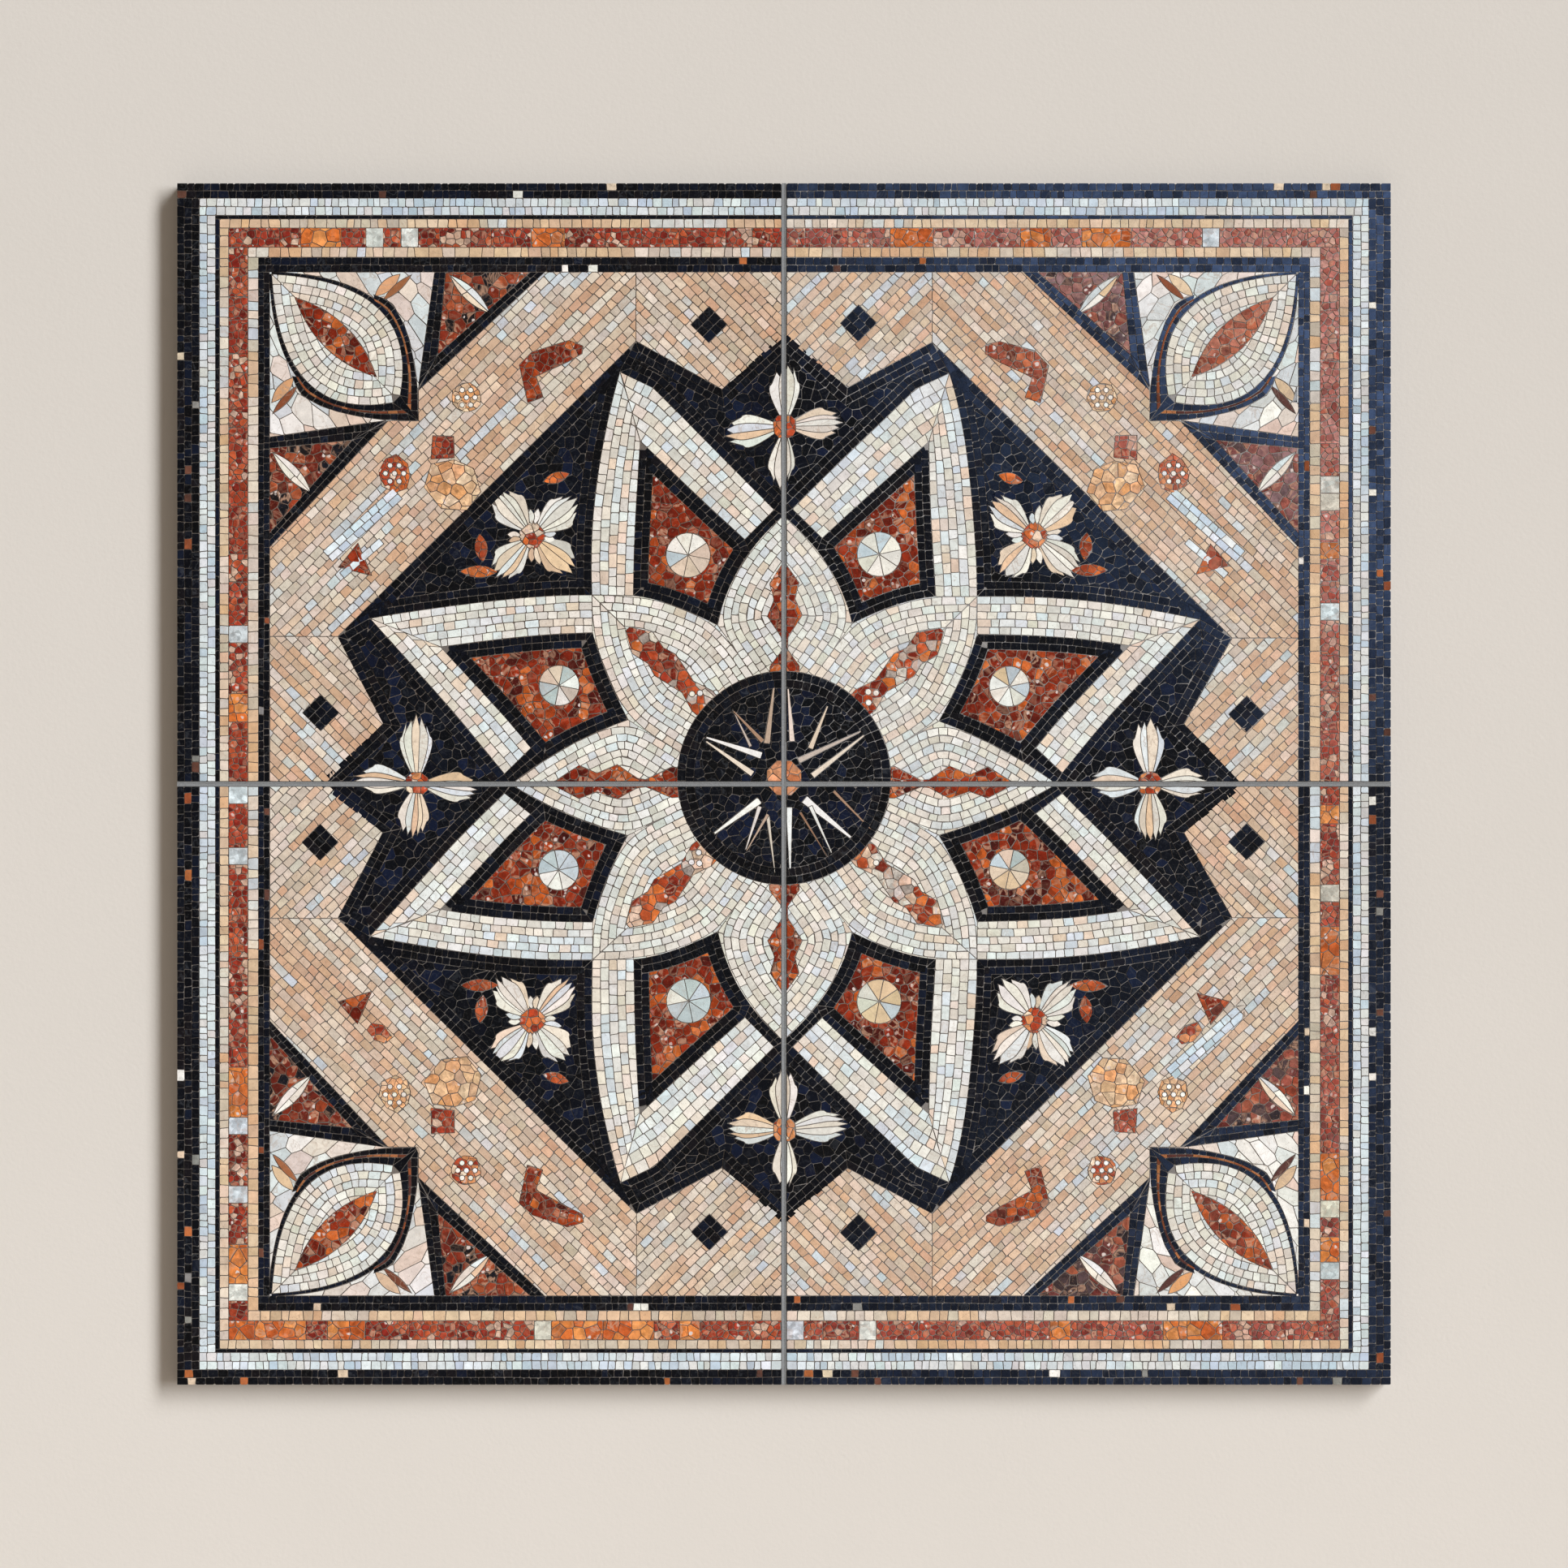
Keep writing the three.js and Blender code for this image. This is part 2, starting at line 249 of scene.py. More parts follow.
def isTwisted(cell):
    if len(cell) != 4:
        return False
    a, b, c, d = cell
    oneWay = cross(b - a, c - a) * cross(c - a, d - a) < 0
    return oneWay and cross(c - b, d - b) * cross(d - b, a - b) < 0


def cleaned(outline, least=0.45):
    kept = []
    for p in outline:
        if not kept or abs(p - kept[-1]) > least:
            kept.append(p)
    while len(kept) > 2 and abs(kept[0] - kept[-1]) <= least:
        kept.pop()
    count = len(kept)
    bends = [cross(unit(kept[i] - kept[i - 1]), unit(kept[(i + 1) % count] - kept[i])) for i in range(count)]
    return [p for p, bend in zip(kept, bends) if abs(bend) > 0.04]


def near(a, b, box):
    return (
        min(a.real, b.real) < box[2]
        and max(a.real, b.real) > box[0]
        and min(a.imag, b.imag) < box[3]
        and max(a.imag, b.imag) > box[1]
    )


def holds(outline, p):
    inside = False
    for a, b in sidesOf(outline):
        if (a.imag > p.imag) != (b.imag > p.imag):
            if p.real < a.real + (p.imag - a.imag) * (b.real - a.real) / (b.imag - a.imag):
                inside = not inside
    return inside


# Cuts a cell to what lies inside one outline and outside others
def cutCell(cell, inside=None, outside=()):
    box, centre = boxOf(cell), middleOf(cell)
    wanted, unwanted = [], []
    if inside:
        if any(near(a, b, box) for a, b in sidesOf(inside)):
            wanted.append(inside)
        elif not holds(inside, centre):
            return []
    for shape in outside:
        if any(near(a, b, box) for a, b in sidesOf(shape)):
            unwanted.append(shape)
        elif holds(shape, centre):
            return []
    if not wanted and not unwanted:
        return [cell]
    points, faces = [], []
    for outline in [cell] + wanted + unwanted:
        faces.append(list(range(len(points), len(points) + len(outline))))
        points += [Vector((p.real, p.imag)) for p in turnedUp(outline)]
    places, _, parts, _, _, owners = delaunay_2d_cdt(points, [], faces, 4, 1e-4)
    needed = set(range(1 + len(wanted)))
    kept = []
    for part, owner in zip(parts, owners):
        if needed <= set(owner) and max(owner) < len(needed):
            kept.append([complex(*places[i]) for i in part])
    return kept


def cutPieces(cells, inside=None, outside=()):
    return [turnedUp(part) for cell in cells for part in cutCell(cell, inside, outside)]


# Rows of stones. Each maker below gives a list of rows, and each row is a list of cells

rowing = {"spread": (0.7, 1.3), "slip": 0.1, "long": 15, "bendEvery": 7}


def wobbled(lines, amount):
    dice, made = now["dice"], [lines[0]]
    for line in lines[1:-1]:
        a, b, c, d = dice.uniform(0, 6), dice.uniform(0.5, 1.1), dice.uniform(0, 6), dice.uniform(0.15, 0.4)
        normals = [1j * unit(line[min(k + 1, len(line) - 1)] - line[max(k - 1, 0)]) for k in range(len(line))]
        waves = [amount * (0.5 * math.sin(a + k * b) + 0.5 * math.sin(c + k * d)) for k in range(len(line))]
        made.append([p + n * w for p, n, w in zip(line, normals, waves)])
    return made + [lines[-1]]


def nearestShare(line, p):
    best, share = None, 0.0
    for i, (a, b) in enumerate(zip(line, line[1:])):
        step = min(max(dot(b - a, p - a) / (abs(b - a) ** 2 or 1), 0), 1)
        reach = abs(p - mix(a, b, step))
        if best is None or reach < best:
            best, share = reach, (i + step) / (len(line) - 1)
    return share


def rowsOf(lines, length, least=1.8):
    dice, rows = now["dice"], []
    for low, high in zip(lines, lines[1:]):
        # the longer line is cut, and each cut goes straight over to the other
        if lengthOf(high) > lengthOf(low):
            low, high = high, low
        count = max(1, round(lengthOf(low) / length))
        steps = [dice.uniform(*rowing["spread"]) for _ in range(count)]
        cuts, partners = [0.0], [0.0]
        for step in steps:
            cuts.append(cuts[-1] + step / sum(steps))
            slip = dice.uniform(-rowing["slip"], rowing["slip"]) / count
            partner = nearestShare(high, along(low, cuts[-1])) + slip
            partners.append(max(partners[-1], min(partner, 1.0)))
        partners[-1] = 1.0
        row = []
        for i in range(count):
            bends = 1
            if length > rowing["long"]:
                bends += int((cuts[i + 1] - cuts[i]) * lengthOf(low) / rowing["bendEvery"])
            cell = [along(low, mix(cuts[i], cuts[i + 1], k / bends)) for k in range(bends + 1)]
            cell += [along(high, mix(partners[i + 1], partners[i], k / bends)) for k in range(bends + 1)]
            if bends > 1 or abs(cell[0] - cell[3]) + abs(cell[1] - cell[2]) > 2 * least:
                row.append(cell)
        rows.append(row)
    return rows


def linesBetween(nearLine, farLine, rows, wobble=0.5):
    shares = rows if isinstance(rows, list) else [i / rows for i in range(rows + 1)]
    count = max(3, int(max(lengthOf(nearLine), lengthOf(farLine)) / 7))
    nearLine, farLine = resampled(nearLine, count), resampled(farLine, count)
    return wobbled([[mix(a, b, s) for a, b in zip(nearLine, farLine)] for s in shares], wobble)


def smoothed(line, rounds):
    for _ in range(rounds):
        inner = [(a + 2 * b + c) / 4 for a, b, c in zip(line, line[1:], line[2:])]
        line = [line[0]] + inner + [line[-1]]
    return line


# Rows that follow a line. A minus width lays them on its right, and first says where they start
def linesBeside(line, width, rows, wobble=0.5, first=0, rounds=0):
    fine, lines = smoothed(resampled(line, max(3, int(lengthOf(line) / 3))), rounds), []
    for i in range(first, rows + 1):
        moved = offsetLine(fine, width * i) if i else fine
        if len(moved) < 2 or lengthOf(moved) < 9:
            break
        lines.append(resampled(moved, max(3, int(lengthOf(moved) / 5))))
    return wobbled(lines, wobble)


def straightRows(outline, way, width, length, wobble=0.7):
    way = unit(way)
    low, bottom, high, top = boxOf([p / way for p in outline])
    count = max(1, round((top - bottom) / width))
    levels = [bottom + (top - bottom) * i / count for i in range(count + 1)]
    points = max(3, int((high - low) / 9))
    lines = []
    for level in levels:
        lines.append([mix(low, high, k / (points - 1)) * way + level * 1j * way for k in range(points)])
    return rowsOf(wobbled(lines, wobble), length)


# Uneven cells like crazy paving: seeds in staggered rows, each pushed aside by a share of their distance
crazy = {"aside": 0.36, "rowStep": 0.87, "reach": 1.5}


def crazyCells(outline, size, stretch=1.0, way=1 + 0j):
    dice, way = now["dice"], unit(way)
    flat = [complex((p / way).real / stretch, (p / way).imag) for p in outline]
    low, bottom, high, top = boxOf(flat)
    step, aside, reach = crazy["rowStep"], crazy["aside"], crazy["reach"]
    columns, levels = int((high - low) / size) + 3, int((top - bottom) / (size * step)) + 3
    seeds = {}
    for i in range(-1, columns):
        for j in range(-1, levels):
            place = complex(low + (i + 0.5 * (j % 2)) * size, bottom + j * size * step)
            seeds[i, j] = place + complex(dice.uniform(-aside, aside), dice.uniform(-aside, aside)) * size
    row = []
    for (i, j), seed in seeds.items():
        cell = [seed + size * reach * diagonal for diagonal in (-1 - 1j, 1 - 1j, 1 + 1j, -1 + 1j)]
        for di in (-2, -1, 0, 1, 2):
            for dj in (-2, -1, 0, 1, 2):
                other = seeds.get((i + di, j + dj))
                if other is not None and (di or dj) and len(cell) > 2:
                    cell = clipped(cell, (seed + other) / 2, unit(other - seed))
        if len(cell) > 2:
            row.append([complex(p.real * stretch, p.imag) * way for p in cell])
    return [row]


# Rows all round an outline that is given side by side, anticlockwise. Also gives the outline that is left
def framed(sides, width, rows, length):
    sides = [resampled(side, 1 + max(len(side) - 1, int(lengthOf(side) / 6))) for side in sides]
    outline = [p for side in sides for p in side[:-1]]
    insets = [outline] + [insetOutline(outline, width * (i + 1)) for i in range(rows)]
    made, start = [], 0
    for side in sides:
        steps = [(start + k) % len(outline) for k in range(len(side))]
        lines = [[inset[k] for k in steps] for inset in insets]
        count = max(2, int(lengthOf(side) / 7))
        made += rowsOf(wobbled([resampled(line, count) for line in lines], 0.35), length)
        start += len(side) - 1
    reach = 0.97 * width * rows
    return made, [p for p in insets[-1] if reachTo(p, outline + outline[:1]) > reach]


# Colour of one stone

toning = {
    "newRun": 0.16,  # how often a run of one tone ends
    "keep": 0.6,  # how often a stone has its run's tone
    "light": (0.86, 1.1),
    "hue": (0.97, 1.03),
    # where the painted sheen starts, over how far it grows to full, and its least share on a stone
    "paintedSheenFrom": 0.36,
    "paintedSheenOver": 0.36,
    "paintedSheenLeast": 0.2,
}


def linear(code):
    values = [int(code[i : i + 2], 16) / 255 for i in (0, 2, 4)]
    return [v / 12.92 if v <= 0.04045 else ((v + 0.055) / 1.055) ** 2.4 for v in values]


tones = {name: [linear(code) for code in codes.split()] for name, codes in palettes.items()}


def drift(p):  # slow change of tone over the face, from 0 to 1
    phase = now["seed"] * 1.3
    waves = math.sin(p.real / 31 + p.imag / 47 + phase) + math.sin(p.real / 19 - p.imag / 23 + 2 * phase)
    return 0.5 + (waves + math.sin(p.imag / 13 + p.real / 67 + 3 * phase) * 0.6) / 5.2


def toneOf(palette, leading=None, where=0j):
    dice = now["dice"]
    tone = leading if leading and dice.random() < toning["keep"] else dice.choice(tones[palette])
    light = dice.uniform(*toning["light"])
    tone = [v * light * dice.uniform(*toning["hue"]) for v in tone]
    # painted sheen: near the outer corner the dark and red stones are mixed towards paler, bluer colours
    outwards = (where.real + where.imag) / (halfU + halfV) - toning["paintedSheenFrom"]
    nearCorner = min(1, max(0, outwards) / toning["paintedSheenOver"])
    paintedSheen = now["paintedSheen"] * dice.uniform(toning["paintedSheenLeast"], 1.0) * nearCorner if palette in paintedSheenColours else 0
    if paintedSheen:
        tone = [mix(v, w, paintedSheen) for v, w in zip(tone, linear(paintedSheenColours[palette]))]
    return tone


# Puts rows of cells into a piece of the section being drawn
def lay(piece, palette, rows, inside=None, outside=(), accents=0.0, veins=0.5):
    dice = now["dice"]
    for row in rows:
        here, leading = palette, None
        for cell in row:
            # a run of one tone goes on for a few stones
            if not leading or dice.random() < toning["newRun"]:
                isPale = palette in paler and dice.random() < now["pale"] * drift(middleOf(cell)) ** 1.25
                here = paler[palette] if isPale else palette
                leading = dice.choice(tones[here])
            for part in [] if isTwisted(cell) else cutCell(cell, inside, outside):
                part = clipped(turnedUp(part), halfJoint + 0j, -1 + 0j)
                part = clipped(part, halfJoint * 1j, -1j) if len(part) > 2 else part
                if len(part) > 2 and areaOf(part) > cut["leastArea"]:
                    odd = dice.random() < accents
                    tone = toneOf("accent" if odd else here, None if odd else leading, middleOf(part))
                    addStone(piece, part, tone, veins * dice.random())


def addStone(piece, cell, tone, veins):
    dice = now["dice"]
    thin = 2 * areaOf(cell) / lengthOf(cell + cell[:1]) < cut["thin"]
    closer = cut["thinGap"] if thin else cut["darkShare"] if piece == "dark" else 1
    gap = cut["gap"] / 2 * dice.uniform(*cut["gapSpread"]) * closer
    rim = cleaned(shrunk(cleaned(cell), gap))
    if len(rim) < 3 or areaOf(rim) < cut["leastArea"] * 0.6:
        return
    rim = cornersCut(rim)
    smaller = cut["thinChamfer"] if thin else cut["darkChamfer"] if piece == "dark" else 1
    top = insetOutline(rim, cut["chamfer"] * smaller)
    if not 0.3 * areaOf(rim) < areaOf(top) < areaOf(rim):
        return
    edge = max(p.real for p in cell) > halfU - 0.5 or max(p.imag for p in cell) > halfV - 0.5
    middle, size = middleOf(top), max(abs(p - middleOf(top)) for p in top)
    slope = cmath.rect(dice.uniform(0, cut["tilt"]) / size, dice.uniform(0, 2 * math.pi))
    level = panel["thickness"] - cut["lowered"] - dice.uniform(0, cut["below"] - 2 * cut["tilt"])
    stone = {
        "rim": [placed(p) for p in rim],
        "top": [placed(p) for p in top],
        "levels": [level + dot(slope, p - middle) for p in top],
        "foot": panel["thickness"] - (cut["edgeDepth"] if edge else cut["depth"]),
        "tone": tone,
        "marks": (dice.random(), veins),
    }
    if now["across"] * now["up"] < 0:
        for key in ("rim", "top", "levels"):
            stone[key].reverse()
    stones.setdefault((now["name"], piece), []).append(stone)


def cornersCut(outline):
    dice, made, count = now["dice"], [], len(outline)
    for i, p in enumerate(outline):
        before, after = outline[i - 1] - p, outline[(i + 1) % count] - p
        reach = dice.uniform(*cut["cornerReach"])
        if dice.random() < cut["cornerShare"] and min(abs(before), abs(after)) > cut["cornerSide"] * reach:
            made += [p + unit(before) * reach, p + unit(after) * reach]
        else:
            made.append(p)
    return made


def placed(p):
    return complex(now["across"] * p.real, now["up"] * p.imag)


# Borders, from the edge inwards. Widths, rows and stone lengths are for the sides and then the ends

borders = [
    {"name": "outerDark", "piece": "dark", "palette": "dark", "widths": (22, 15), "rows": (3, 2),
     "length": 8.5, "accents": 0.035},
    {"name": "white", "piece": "white", "palette": "white", "widths": (16, 17), "rows": (2, 2),
     "length": 8.2},
    {"name": "darkLine", "piece": "dark", "palette": "dark", "widths": (4, 3.5), "rows": (1, 1),
     "length": 13},
    {"name": "outerPeach", "piece": "peach_border", "palette": "peachRow", "widths": (9, 9), "rows": (1, 1),
     "length": 9.5},
    {"name": "red", "widths": (19, 19)},
    {"name": "innerPeach", "piece": "peach_border", "palette": "peachRow", "widths": (10.5, 10),
     "rows": (1, 1), "length": 10.5},
    {"name": "innerDark", "piece": "dark", "palette": "dark", "widths": (11, 14.5), "rows": (2, 2),
     "length": 8.5, "accents": 0.03},
]
fieldU = halfU - sum(band["widths"][0] for band in borders)
fieldV = halfV - sum(band["widths"][1] for band in borders)
redBlocks = {"length": (16, 52), "shard": 7.2, "plainShare": 0.2, "blankShare": 0.16, "blankLength": 17}


def drawBorders():
    outU, outV = halfU, halfV
    for band in borders:
        side, end = band["widths"]
        inner, outer = (outV - end) * 1j, outV * 1j
        ends = [[halfJoint + inner, outU + inner], [halfJoint + outer, outU + outer]]
        upright = [[outU - side + halfJoint * 1j, outU - side + inner], [outU + halfJoint * 1j, outU + inner]]
        for lines, rows in zip((upright, ends), band.get("rows", (1, 1))):
            if band["name"] == "red":
                drawRedBand(*lines)
            else:
                cells = rowsOf(linesBetween(*lines, rows, 0.45), band["length"])
                lay(band["piece"], band["palette"], cells, accents=band.get("accents", 0))
        outU, outV = outU - side, outV - end


# Blocks of red breccia shards between plain orange ones and pale squares
def drawRedBand(low, high):
    dice, reach, size = now["dice"], 0.0, abs(low[1] - low[0])
    while reach < size:
        kind = dice.random()
        blank, plain = kind < redBlocks["blankShare"], kind > 1 - redBlocks["plainShare"]
        length = redBlocks["blankLength"] if blank else dice.uniform(*redBlocks["length"])
        if size - reach - length < 12:
            length = size - reach
        shares = (reach / size, min(1, (reach + length) / size))
        block = [mix(*low, shares[0]), mix(*low, shares[1]), mix(*high, shares[1]), mix(*high, shares[0])]
        if blank:
            lay("red", "blank", [[block]], veins=0.3)
        elif plain:
            lay("red", "orange", crazyCells(block, 13), inside=block, veins=1)
        else:
            lay("red", "crimson", crazyCells(block, redBlocks["shard"]), inside=block, veins=1)
        reach += length


# The star. Places are measured from its centre, where it is drawn without the rise of the pattern

star = {
    "upperTip": 162.5 + 401j, "upperShoulder": 129.5 + 385.5j, "upperFootOut": 9 + 265j,
    "upperFootIn": 38 + 236j, "upperCrotch": 143 + 333j, "upperBow": 191.7 + 309.5j, "upperRoot": 149 + 180j,
    "crossing": 190 + 180j,
    "sideTip": 410 + 157.5j, "sideFootOut": 275.5 + 9.2j, "sideFootIn": 249.5 + 32j,
    "sideCrotch": 340.5 + 130.3j, "sideBow": 300 + 179.6j, "sideInBow": 271 + 140.5j,
    "sideRoot": 190 + 142.6j,
}
ground = [441j, 62 + 385j, 146 + 431.5j, 442 + 139j, 396 + 54.5j, 460 + 0j]
petals = {
    "upperTip": 259j, "upperBow": 53 + 212.5j, "upperEnd": 66.5 + 152j, "upperBase": 31 + 101.4j,
    "sideTip": 268.5 + 0j, "sideBow": 214.7 + 37.3j, "sideEnd": 154 + 57.4j, "sideBase": 102 + 29j,
    "cornerUpperBow": 116 + 178j, "cornerSideBow": 180 + 104j,
}
medallion = {
    "radius": 105.5,
    "rings": 2,
    "ringWidth": 8.2,
    "hub": 18.5,
    "rays": [  # outer end, inner end, width at the inner end, stone
        (-77 + 40j, -22 + 22j, 7, "ray"),
        (-77 + 36j, -31 + 4j, 6, "beige"),
        (-50 + 66j, -21 + 36j, 4.5, "beam"),
        (-51 + 68j, -33 + 31j, 3.2, "beige"),
        (-10 + 90j, -17 + 34j, 6.5, "beam"),
        (4 + 88j, 8 + 36j, 5.5, "beige"),
        (43 + 71j, 26 + 29j, 5.5, "beige"),
        (76 + 46j, 14 + 17j, 6, "beige"),
        (79 + 42j, 28 + 2j, 6, "beige"),
        (-69 - 55j, -24 - 22j, 7.5, "ray"),
        (-38 - 71j, -24 - 28j, 4.5, "ray"),
        (-37 - 72j, -16 - 36j, 3, "beam"),
        (-9 - 94j, -16 - 38j, 3.6, "beige"),
        (6 - 90j, 5 - 29j, 6.5, "ray"),
        (44 - 80j, 16 - 34j, 2.6, "beam"),
        (47 - 74j, 26 - 28j, 4, "ray"),
        (66 - 59j, 20 - 21j, 8.5, "ray"),
        (87 - 52j, 49 - 13j, 3, "beam"),
    ],
}
rowWidth = 7.5
frameWidth = 7.3
fullLength = 11


# With the pattern's rise, which starts at the level joint, and a slight unevenness of the hand
def starPlace(p):
    rise = now["up"] * panel["rise"] * min(1, abs(p.imag) / panel["riseOver"])
    sway = now["sway"]
    uneven = complex(math.sin(p.imag / 37 + sway), math.sin(p.real / 41 + 2 * sway)) * 0.9
    return p + rise * 1j + uneven


def starLine(points):
    return [starPlace(p) for p in points]


def starPoints():
    s, p = star, petals
    lines = {
        "outA": bow(s["upperTip"], s["upperBow"], s["crossing"]),
        "inA": bow(s["upperCrotch"], mix(s["upperCrotch"], s["upperRoot"], 0.5), s["upperRoot"]),
        "outB": bow(s["upperTip"], mix(s["upperTip"], s["upperShoulder"], 0.6), s["upperShoulder"], 4)
        + bow(s["upperShoulder"], mix(s["upperShoulder"], s["upperFootOut"], 0.5), s["upperFootOut"], 8)[1:],
        "inB": bow(s["upperCrotch"], mix(s["upperCrotch"], s["upperFootIn"], 0.5), s["upperFootIn"], 8),
        "sideOutA": bow(s["sideTip"], s["sideBow"], s["crossing"]),
        "sideInA": bow(s["sideCrotch"], s["sideInBow"], s["sideRoot"]),
        "sideOutB": bow(s["sideTip"], mix(s["sideTip"], s["sideFootOut"], 0.5), s["sideFootOut"], 8),
        "sideInB": bow(s["sideCrotch"], mix(s["sideCrotch"], s["sideFootIn"], 0.5), s["sideFootIn"], 8),
        "upperRim": bow(p["upperTip"], p["upperBow"], p["upperEnd"]),
        "sideRim": bow(p["sideTip"], p["sideBow"], p["sideEnd"]),
        "cornerUpperRim": bow(s["upperRoot"], p["cornerUpperBow"], p["upperEnd"]),
        "cornerSideRim": bow(s["sideRoot"], p["cornerSideBow"], p["sideEnd"]),
    }
    return {name: starLine(line) for name, line in lines.items()}


def circle(centre, radius, count, turn=0.0):
    return [centre + cmath.rect(radius, turn + 2 * math.pi * i / count) for i in range(count)]


# A chain of lozenges on a petal's axis, from its half widths at distances from the star's centre
def coreOutline(way, profile):
    way = unit(way)
    left = [way * complex(reach, width) for reach, width in profile]
    right = [way * complex(reach, -width) for reach, width in reversed(profile)]
    return turnedUp(starLine(left + right))


cores = {
    "upper": [(100, 15), (110, 15), (126, 3), (138, 3), (160, 17), (176, 10), (192, 14), (211, 1.5)],
    "side": [(100, 15), (110, 16), (136, 4), (144, 5), (164, 17), (184, 9), (202, 16), (226, 1.5)],
    "corner": [(100, 13), (112, 14), (132, 8), (150, 12), (163, 15), (176, 11), (194, 15), (214, 2.5)],
}


def drawStar():
    s, p, lines = star, petals, starPoints()
    hub = circle(now["up"] * panel["rise"] * 1j, medallion["radius"], 72)
    bars = (("outA", "inA", 5), ("outB", "inB", 5), ("sideOutA", "sideInA", 5), ("sideOutB", "sideInB", 4))
    for out, into, rows in bars:
        lay("pale", "star", rowsOf(linesBetween(lines[out], lines[into], rows), fullLength))
    base, sideBase = starPlace(p["upperBase"]), starPlace(p["sideBase"])
    crossing = starPlace(s["crossing"])
    upperCore, sideCore = coreOutline(1j, cores["upper"]), coreOutline(1, cores["side"])
    cornerCore = coreOutline(s["crossing"], cores["corner"])
    cornerUpper = [crossing] + lines["cornerUpperRim"] + [base]
    cornerSide = [crossing] + lines["cornerSideRim"] + [sideBase]
    halves = [
        # half of the corner petal, above its axis and below it
        (cornerUpper, [0.7 * base, 0.3 * crossing], rowWidth, 9, cornerCore),
        (cornerSide, [0.7 * sideBase, 0.3 * crossing], -rowWidth, 9, cornerCore),
        # half of the upper petal and of the side one
        (lines["upperRim"] + [base], [0.7 * base, -10 + 70j, -10 + 259j], -rowWidth, 10, upperCore),
        (lines["sideRim"] + [sideBase], [0.7 * sideBase, 70 - 10j, 268 - 10j], rowWidth, 9, sideCore),
    ]
    for rim, back, width, rows, core in halves:
        past = rim + [rim[-1] + unit(rim[-1] - rim[-2]) * 12]
        cells = rowsOf(linesBeside(past, width, rows, 0.5, -2, 70), fullLength)
        lay("pale", "petal", cells, inside=rim + back, outside=[hub, core])
    way, pebblesHere = unit(s["crossing"]), []
    for reach, aside in zip(pebbles["reach"], pebbles["aside"]):
        if now["dice"].random() < pebbles["share"]:
            pebblesHere.append(circle(starPlace(way * complex(reach, aside)), pebbles["radius"], 8))
    lay("pale", "ray", [pebblesHere])
    for core, palette in ((upperCore, "red"), (sideCore, "red"), (cornerCore, "mottled")):
        lay("red", palette, crazyCells(core, 10), inside=core, outside=[hub] + pebblesHere, veins=1)
    drawGround(lines)


flowers = {
    "corner": {"centre": 248 + 239j, "reach": 52, "centreReach": 13.5, "halfWidth": 17, "turn": math.pi / 4,
               "between": True, "scraps": [(212 + 300j, 238 + 292j, 11), (300 + 242j, 297 + 214j, 13),
                                           (320 + 205j, 282 + 204j, 12)]},
    "upper": {"centre": 347j, "reach": 58, "centreReach": 13, "halfWidth": 16, "turn": 0, "between": False,
              "scraps": []},
    "side": {"centre": 362 + 0j, "reach": 58, "centreReach": 13, "halfWidth": 16, "turn": 0, "between": False,
             "scraps": []},
}
discs = {"upper": (94 + 221j, 22), "side": (223 + 90.5j, 20)}


# Four petals round a red centre, each a fan of splinters with tips of their own.
# Gives the outlines that the ground keeps clear of
def drawFlower(flower):
    dice, taken, centre = now["dice"], [], flower["centre"]
    inner, reach, wide = flower["centreReach"] - 2, flower["reach"], flower["halfWidth"]
    for k in range(4):
        way = cmath.rect(1, flower["turn"] + k * math.pi / 2 + dice.uniform(-0.1, 0.1))
        count, long = dice.choice((4, 5, 5)), reach * dice.uniform(0.94, 1.05)
        sides = []
        for i in range(count + 1):
            spread = 2 * i / count - 1 + (dice.uniform(-0.12, 0.12) if 0 < i < count else 0)
            width = wide * spread * dice.uniform(0.92, 1.08)
            start = centre + way * complex(inner, 6 * spread)
            belly = centre + way * complex(mix(inner, long, 0.6), width * 1.32)
            end = centre + way * complex(long * (0.9 - 0.16 * spread * spread), width * 0.86)
            sides.append(starLine(bow(start, belly, end, 6)))
        outline = []
        for i in range(count):
            spread = (2 * i + 1) / count - 1
            sharp = dice.uniform(1.02, 1.1) - 0.2 * spread * spread
            tip = starPlace(centre + way * complex(long * sharp, wide * spread * 0.76))
            splinter = sides[i] + [tip] + sides[i + 1][::-1]
            outline += ([] if outline else sides[0]) + [tip, sides[i + 1][-1]]
            lay("pale", dice.choice(("flower", "flower", "petal")), [[turnedUp(splinter)]], veins=1)
        taken.append(turnedUp(outline + sides[-1][-2::-1]))
        if flower["between"]:
            aside = way * cmath.rect(1, math.pi / 4)
            for turn in (-0.17, 0.12):
                small = aside * cmath.rect(1, turn)
                start, end = centre + small * inner, centre + small * reach * dice.uniform(0.42, 0.6)
                shape = turnedUp(starLine(lens(start, end, 7)))
                lay("pale", "flower", [cutPieces([shape], None, taken)], veins=1)
                taken.append(shape)
    heart = circle(starPlace(centre), flower["centreReach"], 9, dice.uniform(0, 1))
    lay("red", "speckled", crazyCells(heart, 8), inside=heart, outside=taken, veins=0.8)
    for start, end, width in flower["scraps"]:
        scrap = starLine(lens(start, end, width))
        for cells in crazyCells(scrap, 9):
            lay("red", "scrap", [cells], inside=scrap, veins=0.6)
        taken.append(scrap)
    return taken + [heart]


def drawDisc(centre, radius):
    middle, count = starPlace(centre), 8
    outer = circle(middle, radius, count * 3, 0.2)
    wedges = [[middle] + [outer[(3 * i + k) % len(outer)] for k in range(4)] for i in range(count)]
    lay("pale", "disc", [wedges], veins=0.6)
    return outer


